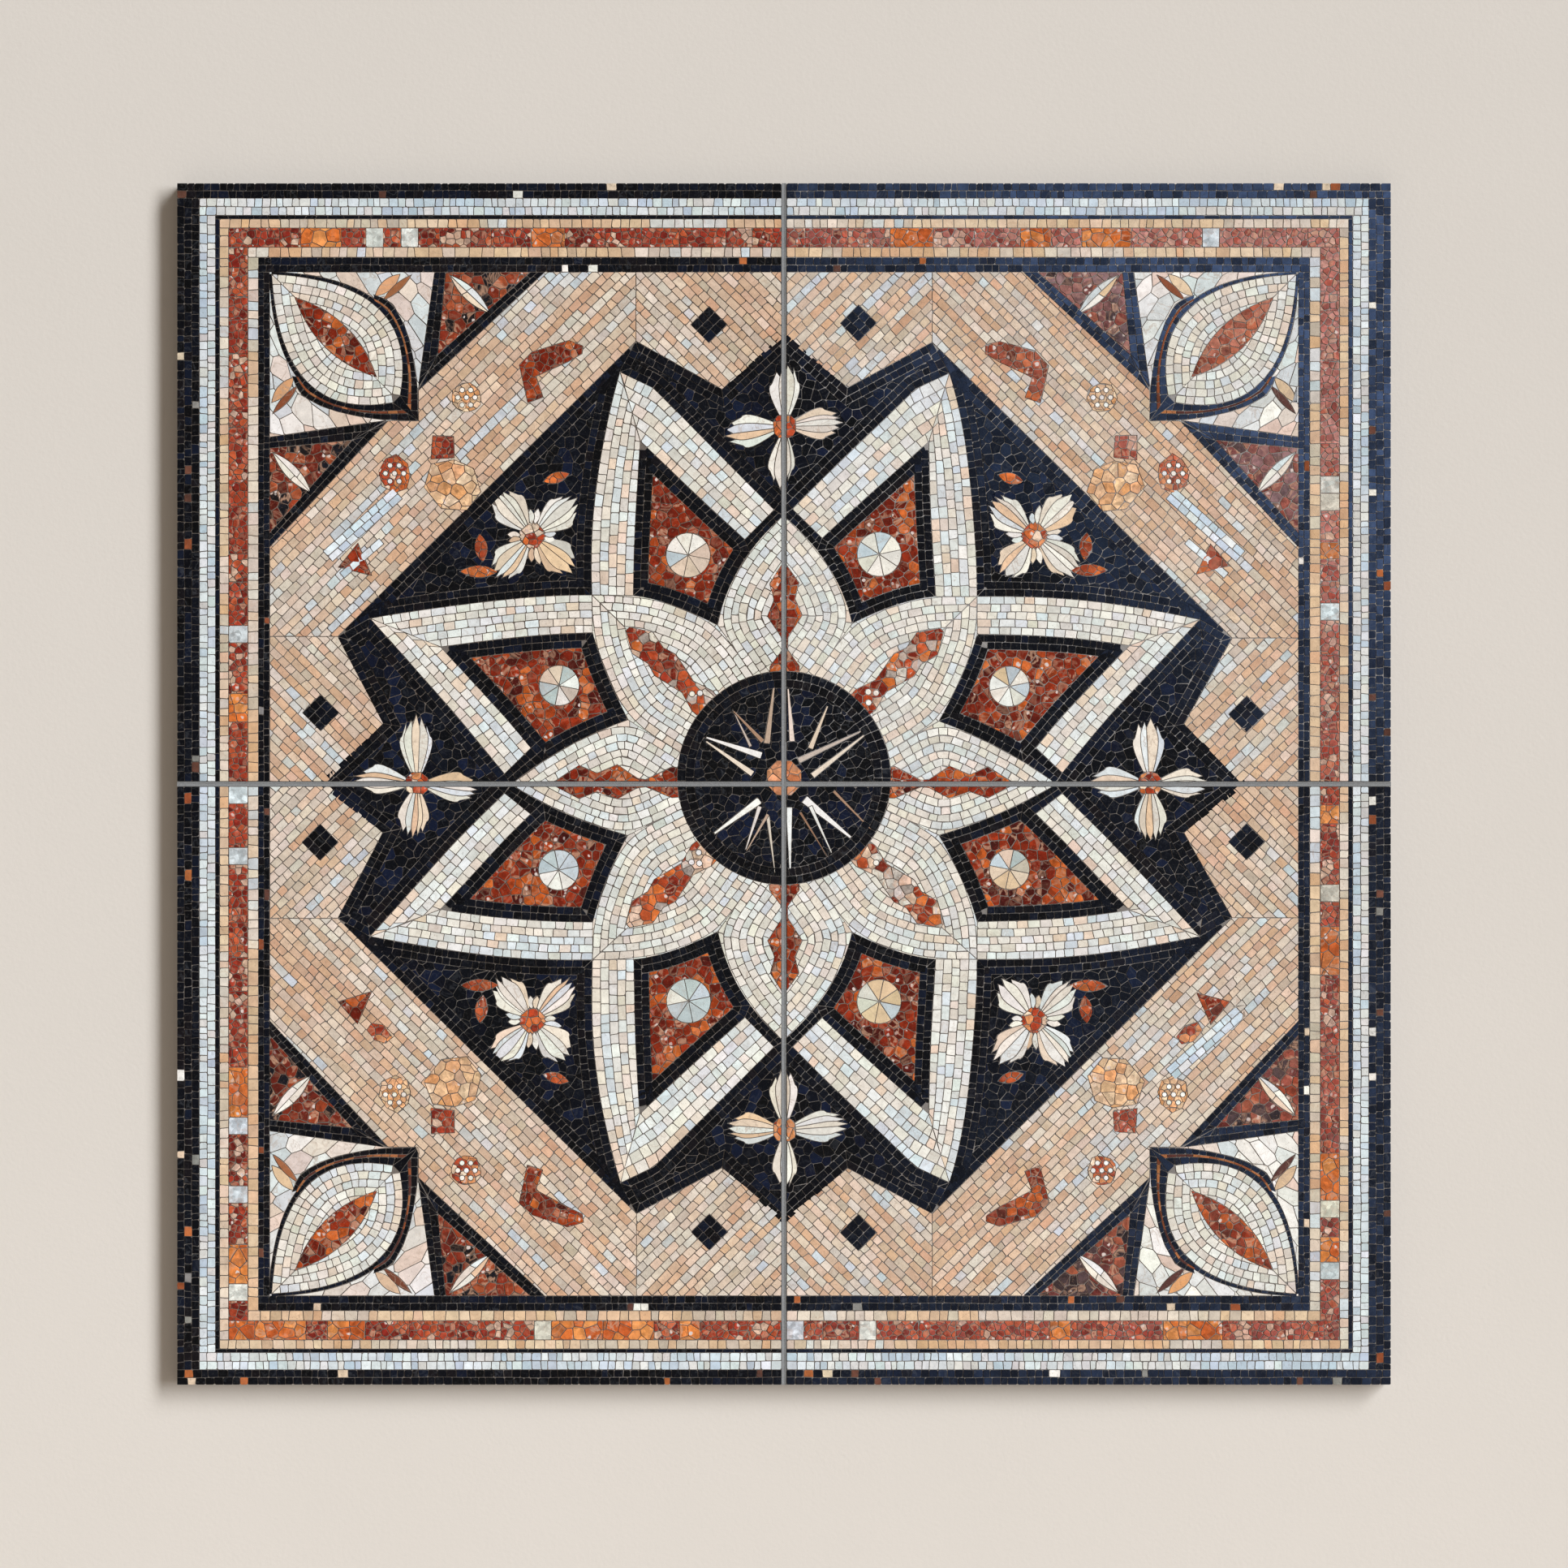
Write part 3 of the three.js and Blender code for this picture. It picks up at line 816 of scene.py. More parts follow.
def drawGround(lines):
    s, p = star, petals
    g = starLine(ground)
    tip, sideTip = lines["outA"][0], lines["sideOutA"][0]
    upperRim, sideRim = lines["upperRim"], lines["sideRim"]
    cells = [
        # sides of each dark cell, anticlockwise, then what fills it inside its frame
        ([lines["outA"], lines["sideOutA"][::-1], [sideTip, g[3]], [g[3], g[2]], [g[2], tip]], "corner"),
        ([lines["inB"], [lines["inB"][-1], upperRim[5]], upperRim[5:], lines["cornerUpperRim"][::-1],
          lines["inA"][::-1]], "upperKite"),
        ([lines["sideInB"][::-1], lines["sideInA"], lines["cornerSideRim"], sideRim[4:][::-1],
          [sideRim[4], lines["sideInB"][-1]]], "sideKite"),
    ]
    upperHalf = [[starPlace(259.5j), lines["outB"][-1]], lines["outB"][::-1], [tip, g[2]], [g[2], g[1]],
                 [g[1], starPlace(441j)]]
    sideHalf = [[starPlace(460 + 0j), g[4]], [g[4], g[3]], [g[3], sideTip], lines["sideOutB"],
                [lines["sideOutB"][-1], starPlace(269 + 0j)]]
    across = lambda line: [-q.conjugate() for q in line][::-1]
    down = lambda line: [q.conjugate() for q in line][::-1]
    cells.append((upperHalf + [across(line) for line in upperHalf[::-1]], "upper"))
    cells.append((sideHalf + [down(line) for line in sideHalf[::-1]], "side"))
    for sides, kind in cells:
        rows, left = framed(sides, frameWidth, 2, 8.5)
        lay("dark", "dark", rows, inside=[p for side in sides for p in side[:-1]], veins=0.25)
        if kind.endswith("Kite"):
            disc = drawDisc(*discs[kind.replace("Kite", "")])
            lay("red", "red", crazyCells(left, 10), inside=left, outside=[disc], veins=1)
        else:
            taken = drawFlower(flowers[kind])
            lay("dark", "navy", crazyCells(left, 10.5), inside=left, outside=taken, veins=0.3)
    # dark strips between the feet of the star's points and the petals
    feet = [
        ([lines["outB"][-1], lines["inB"][-1]], upperRim[:6]),
        ([lines["sideOutB"][-1], lines["sideInB"][-1]], sideRim[:5]),
    ]
    for foot, rim in feet:
        lay("dark", "dark", rowsOf(linesBetween(foot, rim, 2, 0.2), 8), veins=0.25)


# The framed field's corner: places are measured from its corner inwards, along the end and along the side

leaf = {"tip": 2 + 2j, "bow": 150 + 10j, "heel": 129 + 122j, "thinShare": 0.45, "thin": (2.4, 4.5),
        "core": (25 + 25j, 106 + 104j), "coreWidth": 29, "rowWidth": 8.0,
        "streaks": [(112 + 28j, 140 + 3j, 7), (104 + 24j, 129 + 2j, 11)]}
leafBand = [103 + 22.5j, 113 + 26j, 122 + 32j, 132 + 50j, 138 + 67j, 143 + 90j, 146 + 112j, 147 + 147j]
corner = {"edge": 163 + 0j, "waist": 147 + 114j, "block": 147 + 147j, "fieldEdge": 272 + 0j,
          "fieldCorner": 147 + 117j}
triangle = [174 + 0j, 258 + 0j, 166 + 82j]
sprig = (178 + 3j, 218 + 41j)


def cornerPlace(p):
    return complex(fieldU, fieldV) - p


def cornerLine(points):
    return [cornerPlace(p) for p in points]


def lens(start, end, width):
    middle, out = (start + end) / 2, 1j * unit(end - start) * width
    return bow(start, middle - out, end, 10) + bow(end, middle + out, start, 10)[1:-1]


def drawCorner():
    edge = bow(leaf["tip"], leaf["bow"], leaf["heel"], 24)
    turnAt = round(leaf["thinShare"] * 24)
    whole = []
    core = lens(*leaf["core"], leaf["coreWidth"])
    for side in (list, swapped):  # the upper half of the corner, and then its lower half
        edgeHere, bandHere = side(edge), side(leafBand)
        thinEdge = edgeHere[: turnAt + 1]
        away = -1 if side is list else 1
        spread = [mix(*leaf["thin"], k / turnAt) for k in range(turnAt + 1)]
        ways = [thinEdge[min(k + 1, turnAt)] - thinEdge[max(k - 1, 0)] for k in range(turnAt + 1)]
        normals = [away * 1j * unit(way) for way in ways]
        outer = [q + n * w for q, n, w in zip(thinEdge, normals, spread)]
        lay("dark", "dark", rowsOf(linesBetween(cornerLine(thinEdge), cornerLine(outer), 1), 6.5, 1.2))
        shares = [[0, 0.4], [0.4, 0.6], [0.6, 1]]
        for share, palette in zip(shares, ("dark", "twig", "dark")):
            lines = linesBetween(cornerLine(edgeHere[turnAt:]), cornerLine(bandHere), share)
            lay("dark", palette, rowsOf(lines, 9, 1.2), veins=0.3)
        half = edgeHere + [125.5 + 125.5j]
        rows = rowsOf(linesBeside(cornerLine(edgeHere), -away * leaf["rowWidth"], 7), 9.5)
        lay("pale", "petal", rows, inside=cornerLine(half), outside=[cornerLine(core)])
        whole.append(outer + bandHere)
        strips = [
            ([corner["edge"], corner["waist"]], [triangle[0], triangle[2]]),
            ([corner["fieldEdge"], corner["fieldCorner"]], [triangle[1], triangle[2]]),
        ]
        for strip in strips:
            low, high = (cornerLine(side(line)) for line in strip)
            lay("dark", "dark", rowsOf(linesBetween(low, high, 2, 0.3), 8.5))
        drawTriangle(side)
    lay("dark", "dark", [[cornerLine([leaf["heel"], corner["block"], 122 + 129j])]])
    lay("red", "red", crazyCells(cornerLine(core), 10), inside=cornerLine(core), veins=1)
    leafWhole = cornerLine([leaf["tip"]] + whole[0] + whole[1][::-1])
    streaks = [cornerLine(side(lens(*streak))) for side in (list, swapped) for streak in leaf["streaks"]]
    for number, streak in enumerate(streaks):
        palette = "twig" if number % 2 == 0 else "patch"
        lay("pale", palette, [cutPieces([turnedUp(streak)], None, [leafWhole] + streaks[:number])], veins=1)
    square = [0j, corner["edge"], corner["waist"], corner["block"]]
    square = cornerLine(square + swapped(square[1:-1])[::-1])
    shards = crazyCells(square, 15, 2.1, cmath.rect(1, now["dice"].uniform(0.6, 1.0)))
    lay("pale", "shard", shards, inside=square, outside=[leafWhole] + streaks, veins=1)


def drawTriangle(side):
    outline = cornerLine(side(triangle))
    blade = cornerLine(side(lens(*sprig, 13)))
    lay("red", "bramble", crazyCells(outline, 10.5), inside=outline, outside=[blade], veins=1)
    upper, lower = blade[:11], [blade[0]] + blade[:10:-1] + [blade[10]]
    lay("pale", "flower", rowsOf(linesBetween(upper, lower, 2, 0.3), 26))


# The peach field, in three parts whose rows slant, and the small things set in it

diamonds = {"centres": (73.5 + 449j, 458 + 63.5j), "half": 18}
# Each has its outline, the size of its shards, and its palettes in the top sections and in the bottom ones
ornaments = [
    {"outline": [326 + 322j, 349 + 321j, 348 + 345j, 326 + 344j], "shard": 8,
     "palettes": ("crimson", "crimson")},
    {"outline": [373 + 293j, 385 + 288j, 397 + 295j, 400 + 309j, 393 + 321j, 383 + 326j, 372 + 317j,
                 370 + 305j],
     "shard": 6.5, "palettes": ("speckled", "patch"), "spots": (385 + 307j, 9, 6)},
    {"outline": [199 + 426j, 213 + 418j, 245 + 402j, 238 + 382j, 253 + 377j, 262 + 414j, 249 + 427j,
                 213 + 438j, 199 + 433j], "shard": 9, "palettes": ("red", "red")},
    {"outline": [407 + 206j, 441 + 215j, 422 + 238j], "shard": 12, "palettes": ("red", "red")},
    {"outline": [348 + 316j, 326 + 320j, 306 + 312j, 300 + 288j, 314 + 270j, 338 + 272j, 356 + 294j],
     "shard": 12, "palettes": ("patch", "patch")},
    {"outline": [388 + 250j, 396 + 238j, 408 + 236j, 413 + 244j, 405 + 254j, 394 + 257j], "shard": 9,
     "palettes": (None, "speckled")},
    {"outline": circle(314 + 382j, 14.5, 14), "shard": 7, "palettes": ("patch", "speckled"),
     "spots": (314 + 382j, 8.5, 6)},
]
spot = {"radius": 2.7, "palette": "ray"}
stripes = [(451 + 225j, 382 + 287j, 14), (437 + 206j, 398 + 240j, 7)]
fieldRows = {"width": 7.6, "length": 11.5, "past": 8}


def drawField():
    g, dice, past = starLine(ground), now["dice"], fieldRows["past"]
    edge, middle = complex(fieldU, fieldV) - corner["fieldEdge"], complex(fieldU, fieldV)
    seamTop, seamSide = complex(g[2].real, fieldV), complex(fieldU, g[3].imag)
    top = [g[0] - past, g[1], g[2], seamTop, complex(-past, fieldV)]
    side = [g[4], complex(g[5].real, -past), complex(fieldU, -past), seamSide, g[3]]
    fieldCorner = middle - corner["fieldCorner"]
    block = middle - corner["block"]
    band = [g[2], g[3], seamSide, complex(fieldU, fieldV - 272), middle - (117 + 147j), block, fieldCorner,
            edge, seamTop]
    taken = []
    for centre in diamonds["centres"]:
        half, centre = diamonds["half"], starPlace(centre)
        shape = [centre + half * 1j**k for k in range(4)]
        lines = linesBetween([shape[0], shape[1]], [shape[3], shape[2]], 3, 0.3)
        lay("dark", "dark", rowsOf(lines, 8.5), veins=0.3)
        taken.append(shape)
    for ornament in ornaments:
        palette = ornament["palettes"][0 if now["up"] > 0 else 1]
        if palette:
            jitter = [complex(dice.uniform(-1, 1), dice.uniform(-1, 1)) for _ in ornament["outline"]]
            shape = [q + j for q, j in zip(ornament["outline"], jitter)]
            spots = []
            if "spots" in ornament:
                centre, reach, count = ornament["spots"]
                spots = [circle(q, spot["radius"], 8) for q in circle(centre, reach, count) + [centre]]
                lay("pale", spot["palette"], [spots])
            lay("red", palette, crazyCells(shape, ornament["shard"]), inside=shape, outside=spots, veins=0.8)
            taken.append(shape)
    for start, end, width in stripes[: now["stripes"]]:
        out = 1j * unit(end - start) * width / 2
        lines = linesBetween([start - out, end - out], [start + out, end + out], 2 if width > 9 else 1, 0.3)
        lay("peach_field", "stripe", rowsOf(lines, 12))
        taken.append([start - out, end - out, end + out, start + out])
    for outline, way in ((top, 1 + 1j), (band, 1 - 1j), (side, 1 + 1j)):
        rows = straightRows(outline, way, fieldRows["width"], fieldRows["length"])
        lay("peach_field", "peachField", rows, inside=turnedUp(outline), outside=taken)


# The medallion crosses both joints, so it is drawn once for the whole panel and cut by each section

def medallionRows():
    now.update(dice=random.Random(5), across=1, up=1)
    middle, width = panel["rise"] * 1j, medallion["ringWidth"]
    radii = [medallion["radius"] - width * i for i in range(medallion["rings"] + 1)]
    rings = [circle(middle, radius, 90) for radius in radii]
    parts = [("dark", "dark", rowsOf([ring + ring[:1] for ring in rings], 8.6))]
    hub = circle(middle, medallion["hub"], 8, math.pi / 8)
    parts.append(("red", "hub", [cutPieces(crazyCells(hub, 13)[0], hub)]))
    rays = []
    for out, into, width, palette in medallion["rays"]:
        aside = 1j * unit(out - into) * width / 2
        ends = (into + aside, into - aside, out - aside * 0.3, out + aside * 0.3)
        ray = turnedUp([middle + q for q in ends])
        parts.append(("pale", palette, [cutPieces([ray], None, rays + [hub])]))
        rays.append(ray)
    floor = rings[-1]
    parts.append(("dark", "navy", [cutPieces(crazyCells(floor, 10)[0], floor, rays + [hub])]))
    return parts


def drawMedallion(parts):
    for piece, palette, rows in parts:
        turned = [[[placed(p) for p in cell] for cell in row] for row in rows]
        lay(piece, palette, turned, veins=0.5)


medallionParts = medallionRows()
for name, section in sections.items():
    now.update(section, name=name, dice=random.Random(section["seed"]), sway=section["seed"] * 0.7)
    drawBorders()
    drawStar()
    drawCorner()
    drawField()
    drawMedallion(medallionParts)
    print("stones laid in", name, sum(len(made) for key, made in stones.items() if key[0] == name))


# Meshes. The face looks towards -Y, so a point p at height h over the back stands at (p.real, -h, p.imag)

chunk = {"size": 24, "margin": 0.75}
pushed = 0.3  # how far a stone's sides reach out in that picture


# Gives each chunk of stones its own place in one square picture
def packed(made):
    chunks, margin = {}, chunk["margin"]
    for stone in made:
        middle = middleOf(stone["rim"])
        key = (int(middle.real // chunk["size"]), int(middle.imag // chunk["size"]))
        chunks.setdefault(key, []).append(stone)
    boxes = []
    for group in chunks.values():
        low, bottom, high, top = boxOf([p for stone in group for p in stone["rim"]])
        boxes.append((top - bottom + 2 * margin, high - low + 2 * margin, low, bottom, group))
    boxes.sort(key=lambda box: box[:4], reverse=True)
    side = math.sqrt(sum(box[0] * box[1] for box in boxes))
    while True:
        places, across, shelf, level = [], 0.0, 0.0, 0.0
        for height, width, low, bottom, group in boxes:
            if across + width > side:
                across, level = 0.0, level + shelf
                shelf = 0.0
            places.append(complex(across + margin - low, level + margin - bottom))
            across, shelf = across + width, max(shelf, height)
        if level + shelf <= side:
            break
        side *= 1.01
    for place, box in zip(places, boxes):
        for stone in box[4]:
            stone["shift"] = place
    return side


def meshFrom(name, points, faces, uvs, tonesHere=None, marks=None):
    mesh = bpy.data.meshes.new(name)
    mesh.from_pydata(points, [], faces)
    mesh.uv_layers.new(name="OFBake").data.foreach_set("uv", [v for uv in uvs for v in uv])
    for label, values in (("tone", tonesHere), ("marks", marks)):
        if values:
            layer = mesh.color_attributes.new(label, "FLOAT_COLOR", "POINT")
            layer.data.foreach_set("color", [v for value in values for v in value])
    mesh.validate()
    made = bpy.data.objects.new(name, mesh)
    bpy.context.scene.collection.objects.link(made)
    return made


def buildStones(name, made):
    side = packed(made)
    points, faces, uvs, tonesHere, marks = [], [], [], [], []
    for stone in made:
        rim, top, count, first = stone["rim"], stone["top"], len(stone["rim"]), len(points)
        middle, foot, levels = middleOf(rim), stone["foot"], stone["levels"]
        points += [(p.real * mm, -h * mm, p.imag * mm) for p, h in zip(top, levels)]
        points += [(p.real * mm, -(h - cut["chamfer"]) * mm, p.imag * mm) for p, h in zip(rim, levels)]
        points += [(p.real * mm, -foot * mm, p.imag * mm) for p in rim]
        outer = [p + unit(p - middle) * pushed for p in rim]
        small = [mix(middle, p, 0.7) for p in rim]
        rings = [[(q + stone["shift"]) / side for q in ring] for ring in (top, rim, outer, small)]
        rings = [[(q.real, q.imag) for q in ring] for ring in rings]
        faces.append([first + 2 * count + i for i in reversed(range(count))])
        uvs += rings[3][::-1]
        for i in range(count):
            j = (i + 1) % count
            faces.append([first + count + j, first + count + i, first + 2 * count + i, first + 2 * count + j])
            uvs += [rings[1][j], rings[1][i], rings[2][i], rings[2][j]]
            faces.append([first + j, first + i, first + count + i, first + count + j])
            uvs += [rings[0][j], rings[0][i], rings[1][i], rings[1][j]]
        faces.append([first + i for i in range(count)])
        uvs += rings[0]
        tonesHere += [(*stone["tone"], 1.0)] * (3 * count)
        seed, veins = stone["marks"]
        marks += [(seed, veins, 0.0, 1.0)] * count + [(seed, veins, 1.0, 1.0)] * (2 * count)
    return meshFrom(name, points, faces, uvs, tonesHere, marks)


# The mortar slab behind a section's stones, up to the grout between them
slab = {"bed": 10, "step": 0.9, "stepJoint": 0.5, "cells": 96, "uneven": 0.16, "combEvery": 7.5,
        "combDeep": 0.8, "sheet": 600}


def buildSlab(name, across, up, seed, groutPaling):
    rng = random.Random(seed)
    phases = [(rng.uniform(0.03, 0.35), rng.uniform(0, 2 * math.pi), rng.uniform(0, 6)) for _ in range(9)]
    low, high, bottom, top = halfJoint, halfU, halfJoint, halfV
    count = slab["cells"]

    def swell(u, v):
        waves = [math.sin((u * math.cos(a) + v * math.sin(a)) * f + p) for f, a, p in phases]
        return slab["uneven"] * sum(waves) / 3

    points, faces, uvs = [], [], []

    def addGrid(us, vs, heightAt, corner, size, turned):
        first = len(points)
        for v in vs:
            for u in us:
                points.append((across * u * mm, -heightAt(u, v) * mm, up * v * mm))
        wide = len(us)
        for j in range(len(vs) - 1):
            for i in range(wide - 1):
                face = [first + j * wide + i, first + j * wide + i + 1]
                face += [first + (j + 1) * wide + i + 1, first + (j + 1) * wide + i]
                places = [(us[i], vs[j]), (us[i + 1], vs[j]), (us[i + 1], vs[j + 1]), (us[i], vs[j + 1])]
                x, y, sheet = *corner, slab["sheet"]
                places = [(x + size * (u - low) / sheet, y + size * (v - bottom) / sheet) for u, v in places]
                if turned:
                    face, places = face[::-1], places[::-1]
                faces.append(face)
                uvs.extend(places)
        return first

    def spread(a, b, parts):
        return [a + (b - a) * i / parts for i in range(parts + 1)]

    flipped = across * up < 0
    inU = spread(low + slab["stepJoint"], high - slab["step"], count)
    inV = spread(bottom + slab["stepJoint"], top - slab["step"], count)
    groutTop = panel["thickness"] - cut["grout"]
    front = addGrid(inU, inV, lambda u, v: groutTop + swell(u, v), (0.002, 0.002), 0.86, flipped)
    ridges = round((high - low) / slab["combEvery"])
    backU = [low]
    for i in range(ridges):
        start, step = low + (high - low) * i / ridges, (high - low) / ridges
        backU += [start + step * share for share in (0.25, 0.4, 0.6, 0.75)]
    backU.append(high)
    combed = {round(u, 3) for i, u in enumerate(backU[1:-1]) if i % 4 in (1, 2)}
    backV = [bottom, bottom + 6, bottom + 7.5, top - 7.5, top - 6, top]

    def combAt(u, v):
        inside = bottom + 7 < v < top - 7
        return slab["combDeep"] if inside and round(u, 3) in combed else 0.0

    back = addGrid(backU, backV, combAt, (0.87, 0.002), 0.125, not flipped)

    # the sides go round from the back's rim to the bed's front edge, in to the grout and up to its face
    def rimOf(first, wide, tall):
        rim = [first + i for i in range(wide)] + [first + j * wide + wide - 1 for j in range(1, tall)]
        rim += [first + (tall - 1) * wide + i for i in reversed(range(wide - 1))]
        return rim + [first + j * wide for j in reversed(range(1, tall - 1))]

    backRim, frontRim = rimOf(back, len(backU), len(backV)), rimOf(front, len(inU), len(inV))
    corners = [(low, bottom), (high, bottom), (high, top), (low, top)]
    innerCorners = [(inU[0], inV[0]), (inU[-1], inV[0]), (inU[-1], inV[-1]), (inU[0], inV[-1])]
    ledge = []
    for places in (corners, innerCorners):
        ledge.append(len(points))
        points.extend((across * u * mm, -slab["bed"] * mm, up * v * mm) for u, v in places)
    band = 0.9

    def addFace(face, row, part):
        turned = face if not flipped else face[::-1]
        faces.append(turned)
        base, size = band + 0.014 * row, 0.011
        shares = [0.0, 1.0] + [1 - k / (len(face) - 3) if len(face) > 3 else 0 for k in range(len(face) - 2)]
        places = []
        for k, share in enumerate(shares):
            places.append((0.01 + 0.2 * (part + share), base + (0 if k < 2 else size)))
        uvs.extend(places if not flipped else places[::-1])

    def stretchOf(rim, wide, tall, k):
        starts = [0, wide - 1, wide + tall - 2, 2 * wide + tall - 3, len(rim)]
        return [rim[i % len(rim)] for i in range(starts[k], starts[k + 1] + 1)]

    for k in range(4):
        j = (k + 1) % 4
        backEdge = stretchOf(backRim, len(backU), len(backV), k)
        frontEdge = stretchOf(frontRim, len(inU), len(inV), k)
        addFace([ledge[0] + j, ledge[0] + k] + backEdge, 0, k)
        addFace([ledge[0] + k, ledge[0] + j, ledge[1] + j, ledge[1] + k], 2, k)
        addFace([ledge[1] + k, ledge[1] + j] + frontEdge[::-1], 4, k)
    # only the grout in the face is made paler, by the section's share
    marks = [(groutPaling if -p[1] > 1.2 * slab["bed"] * mm else 0.0, 0.0, 0.0, 1.0) for p in points]
    return meshFrom(name, points, faces, uvs, None, marks)


# One arm of the joint, hollow-faced, from the back to just under the panel's face
joint = {"width": 4.9, "recess": 0.8, "hollow": 0.35, "rounded": 0.5, "lip": 0.05, "step": 9,
         "uneven": 0.12}


def buildArm(name, start, end, seed):
    rng = random.Random(seed)
    way, half, face = unit(end - start), joint["width"] / 2, panel["thickness"] - joint["recess"]
    rounded, lip = half - joint["rounded"], face - joint["lip"]
    profile = [(-half, 0), (-half, face), (-rounded, lip), (0, face - joint["hollow"]), (rounded, lip),
               (half, face), (half, 0)]
    parts = int(abs(end - start) / joint["step"])
    points, faces, uvs = [], [], []
    for i in range(parts + 1):
        for k, (side, height) in enumerate(profile):
            p = mix(start, end, i / parts) + 1j * way * side
            low = rng.uniform(0, joint["uneven"]) if 0 < k < 6 else 0
            points.append((p.real * mm, -(height - low) * mm, p.imag * mm))
    wide, folds = len(profile), 4
    reach = [0.0]
    for a, b in zip(profile, profile[1:] + profile[:1]):
        reach.append(reach[-1] + math.hypot(b[0] - a[0], b[1] - a[1]))
    rows = math.ceil(parts / folds)
    for i in range(parts):
        fold, step = divmod(i, rows)
        for k in range(wide):
            j = (k + 1) % wide
            faces.append([i * wide + k, i * wide + j, (i + 1) * wide + j, (i + 1) * wide + k])
            low, high = [fold / folds + 0.24 * reach[n] / reach[-1] + 0.003 for n in (k, k + 1)]
            uvs += [(low, step / rows * 0.97), (high, step / rows * 0.97)]
            uvs += [(high, (step + 1) / rows * 0.97), (low, (step + 1) / rows * 0.97)]
    caps = [list(reversed(range(wide))), [parts * wide + k for k in range(wide)]]
    for n, cap in enumerate(caps):
        faces.append(cap)
        order = list(reversed(range(wide))) if n == 0 else list(range(wide))
        x = 0.1 + 0.3 * n
        uvs += [(x + 0.005 * profile[k][0] / half, 0.976 + 0.02 * profile[k][1] / face) for k in order]
    return meshFrom(name, points, faces, uvs)


stands = {
    "dark": {"slot": "dark_stone", "nodes": ["section"]},
    "white": {"slot": "white_stone", "nodes": ["white_border"]},
    "peach_border": {"slot": "peach_stone", "nodes": ["peach_border"]},
    "peach_field": {"slot": "peach_stone", "nodes": ["peach_field"]},
    "pale": {"slot": "pale_stone", "nodes": ["star", "corner_leaf", "flower_corner", "flower_upper",
                                             "flower_side"]},
    "red": {"slot": "red_stone", "nodes": ["red_border", "triangle_upper", "triangle_side", "kite_upper",
                                           "kite_side"]},
}


# Shaders

def addNode(tree, kind, settings=None, values=None, links=None):
    made = tree.nodes.new("ShaderNode" + kind)
    for key, value in (settings or {}).items():
        setattr(made, key, value)
    for key, value in (values or {}).items():
        made.inputs[key].default_value = value
    for key, source in (links or {}).items():
        tree.links.new(source, made.inputs[key])
    return made


def addMath(tree, operation, first, second=None, clamp=False):
    made = addNode(tree, "Math", {"operation": operation, "use_clamp": clamp})
    for socket, value in zip(made.inputs, (first, second)):
        if isinstance(value, (int, float)):
            socket.default_value = value
        elif value is not None:
            tree.links.new(value, socket)
    return made.outputs[0]


def addRange(tree, source, low, high, toLow=0.0, toHigh=1.0):
    values = {"From Min": low, "From Max": high, "To Min": toLow, "To Max": toHigh}
    return addNode(tree, "MapRange", {"clamp": True}, values, {"Value": source}).outputs["Result"]


def addMix(tree, blend, share, first, second):
    made = addNode(tree, "Mix", {"data_type": "RGBA", "blend_type": blend})
    for socket, value in zip((made.inputs[0], made.inputs[6], made.inputs[7]), (share, first, second)):
        if isinstance(value, (int, float, tuple)):
            socket.default_value = value
        else:
            tree.links.new(value, socket)
    return made.outputs[2]


def newGroup(name, inputs, outputs):
    tree = bpy.data.node_groups.new(name, "ShaderNodeTree")
    for direction, sockets in (("INPUT", inputs), ("OUTPUT", outputs)):
        for label, kind in sockets.items():
            tree.interface.new_socket(label, in_out=direction, socket_type="NodeSocket" + kind)
    return tree, tree.nodes.new("NodeGroupInput").outputs, tree.nodes.new("NodeGroupOutput").inputs


def place(tree, group, values=None, links=None):
    made = addNode(tree, "Group", {"node_tree": group}, values, links)
    return made.outputs


# Patterns lie flat in the face, and each stone's seed takes them from another depth
def flatPlace(tree, seed, spread):
    place3d = addNode(tree, "SeparateXYZ", links={"Vector": addNode(tree, "TexCoord").outputs["Object"]})
    depth = addMath(tree, "MULTIPLY", seed, spread)
    links = {"X": place3d.outputs["X"], "Y": depth, "Z": place3d.outputs["Z"]}
    return addNode(tree, "CombineXYZ", links=links).outputs[0]


def clouds(tree, place3d, scale, detail=3.0, rough=0.55, distortion=0.0):
    values = {"Scale": scale, "Detail": detail, "Roughness": rough, "Distortion": distortion}
    return addNode(tree, "TexNoise", None, values, {"Vector": place3d}).outputs["Fac"]


# Soft clouds and fine grain of one cut stone, as a factor on its colour
def makeMottle():
    tree, inside, out = newGroup("stoneMottle", {"Seed": "Float", "Strength": "Float"},
                                 {"Factor": "Float", "Grain": "Float"})
    here = flatPlace(tree, inside["Seed"], 3.0)
    broad, fine = clouds(tree, here, 130, 3), clouds(tree, here, 900, 2)
    both = addMath(tree, "ADD", addMath(tree, "MULTIPLY", broad, 0.75), addMath(tree, "MULTIPLY", fine, 0.25))
    off = addMath(tree, "SUBTRACT", addRange(tree, both, 0.3, 0.7), 0.5)
    factor = addMath(tree, "ADD", addMath(tree, "MULTIPLY", off, inside["Strength"]), 1.0)
    tree.links.new(factor, out["Factor"])
    tree.links.new(fine, out["Grain"])
    return tree


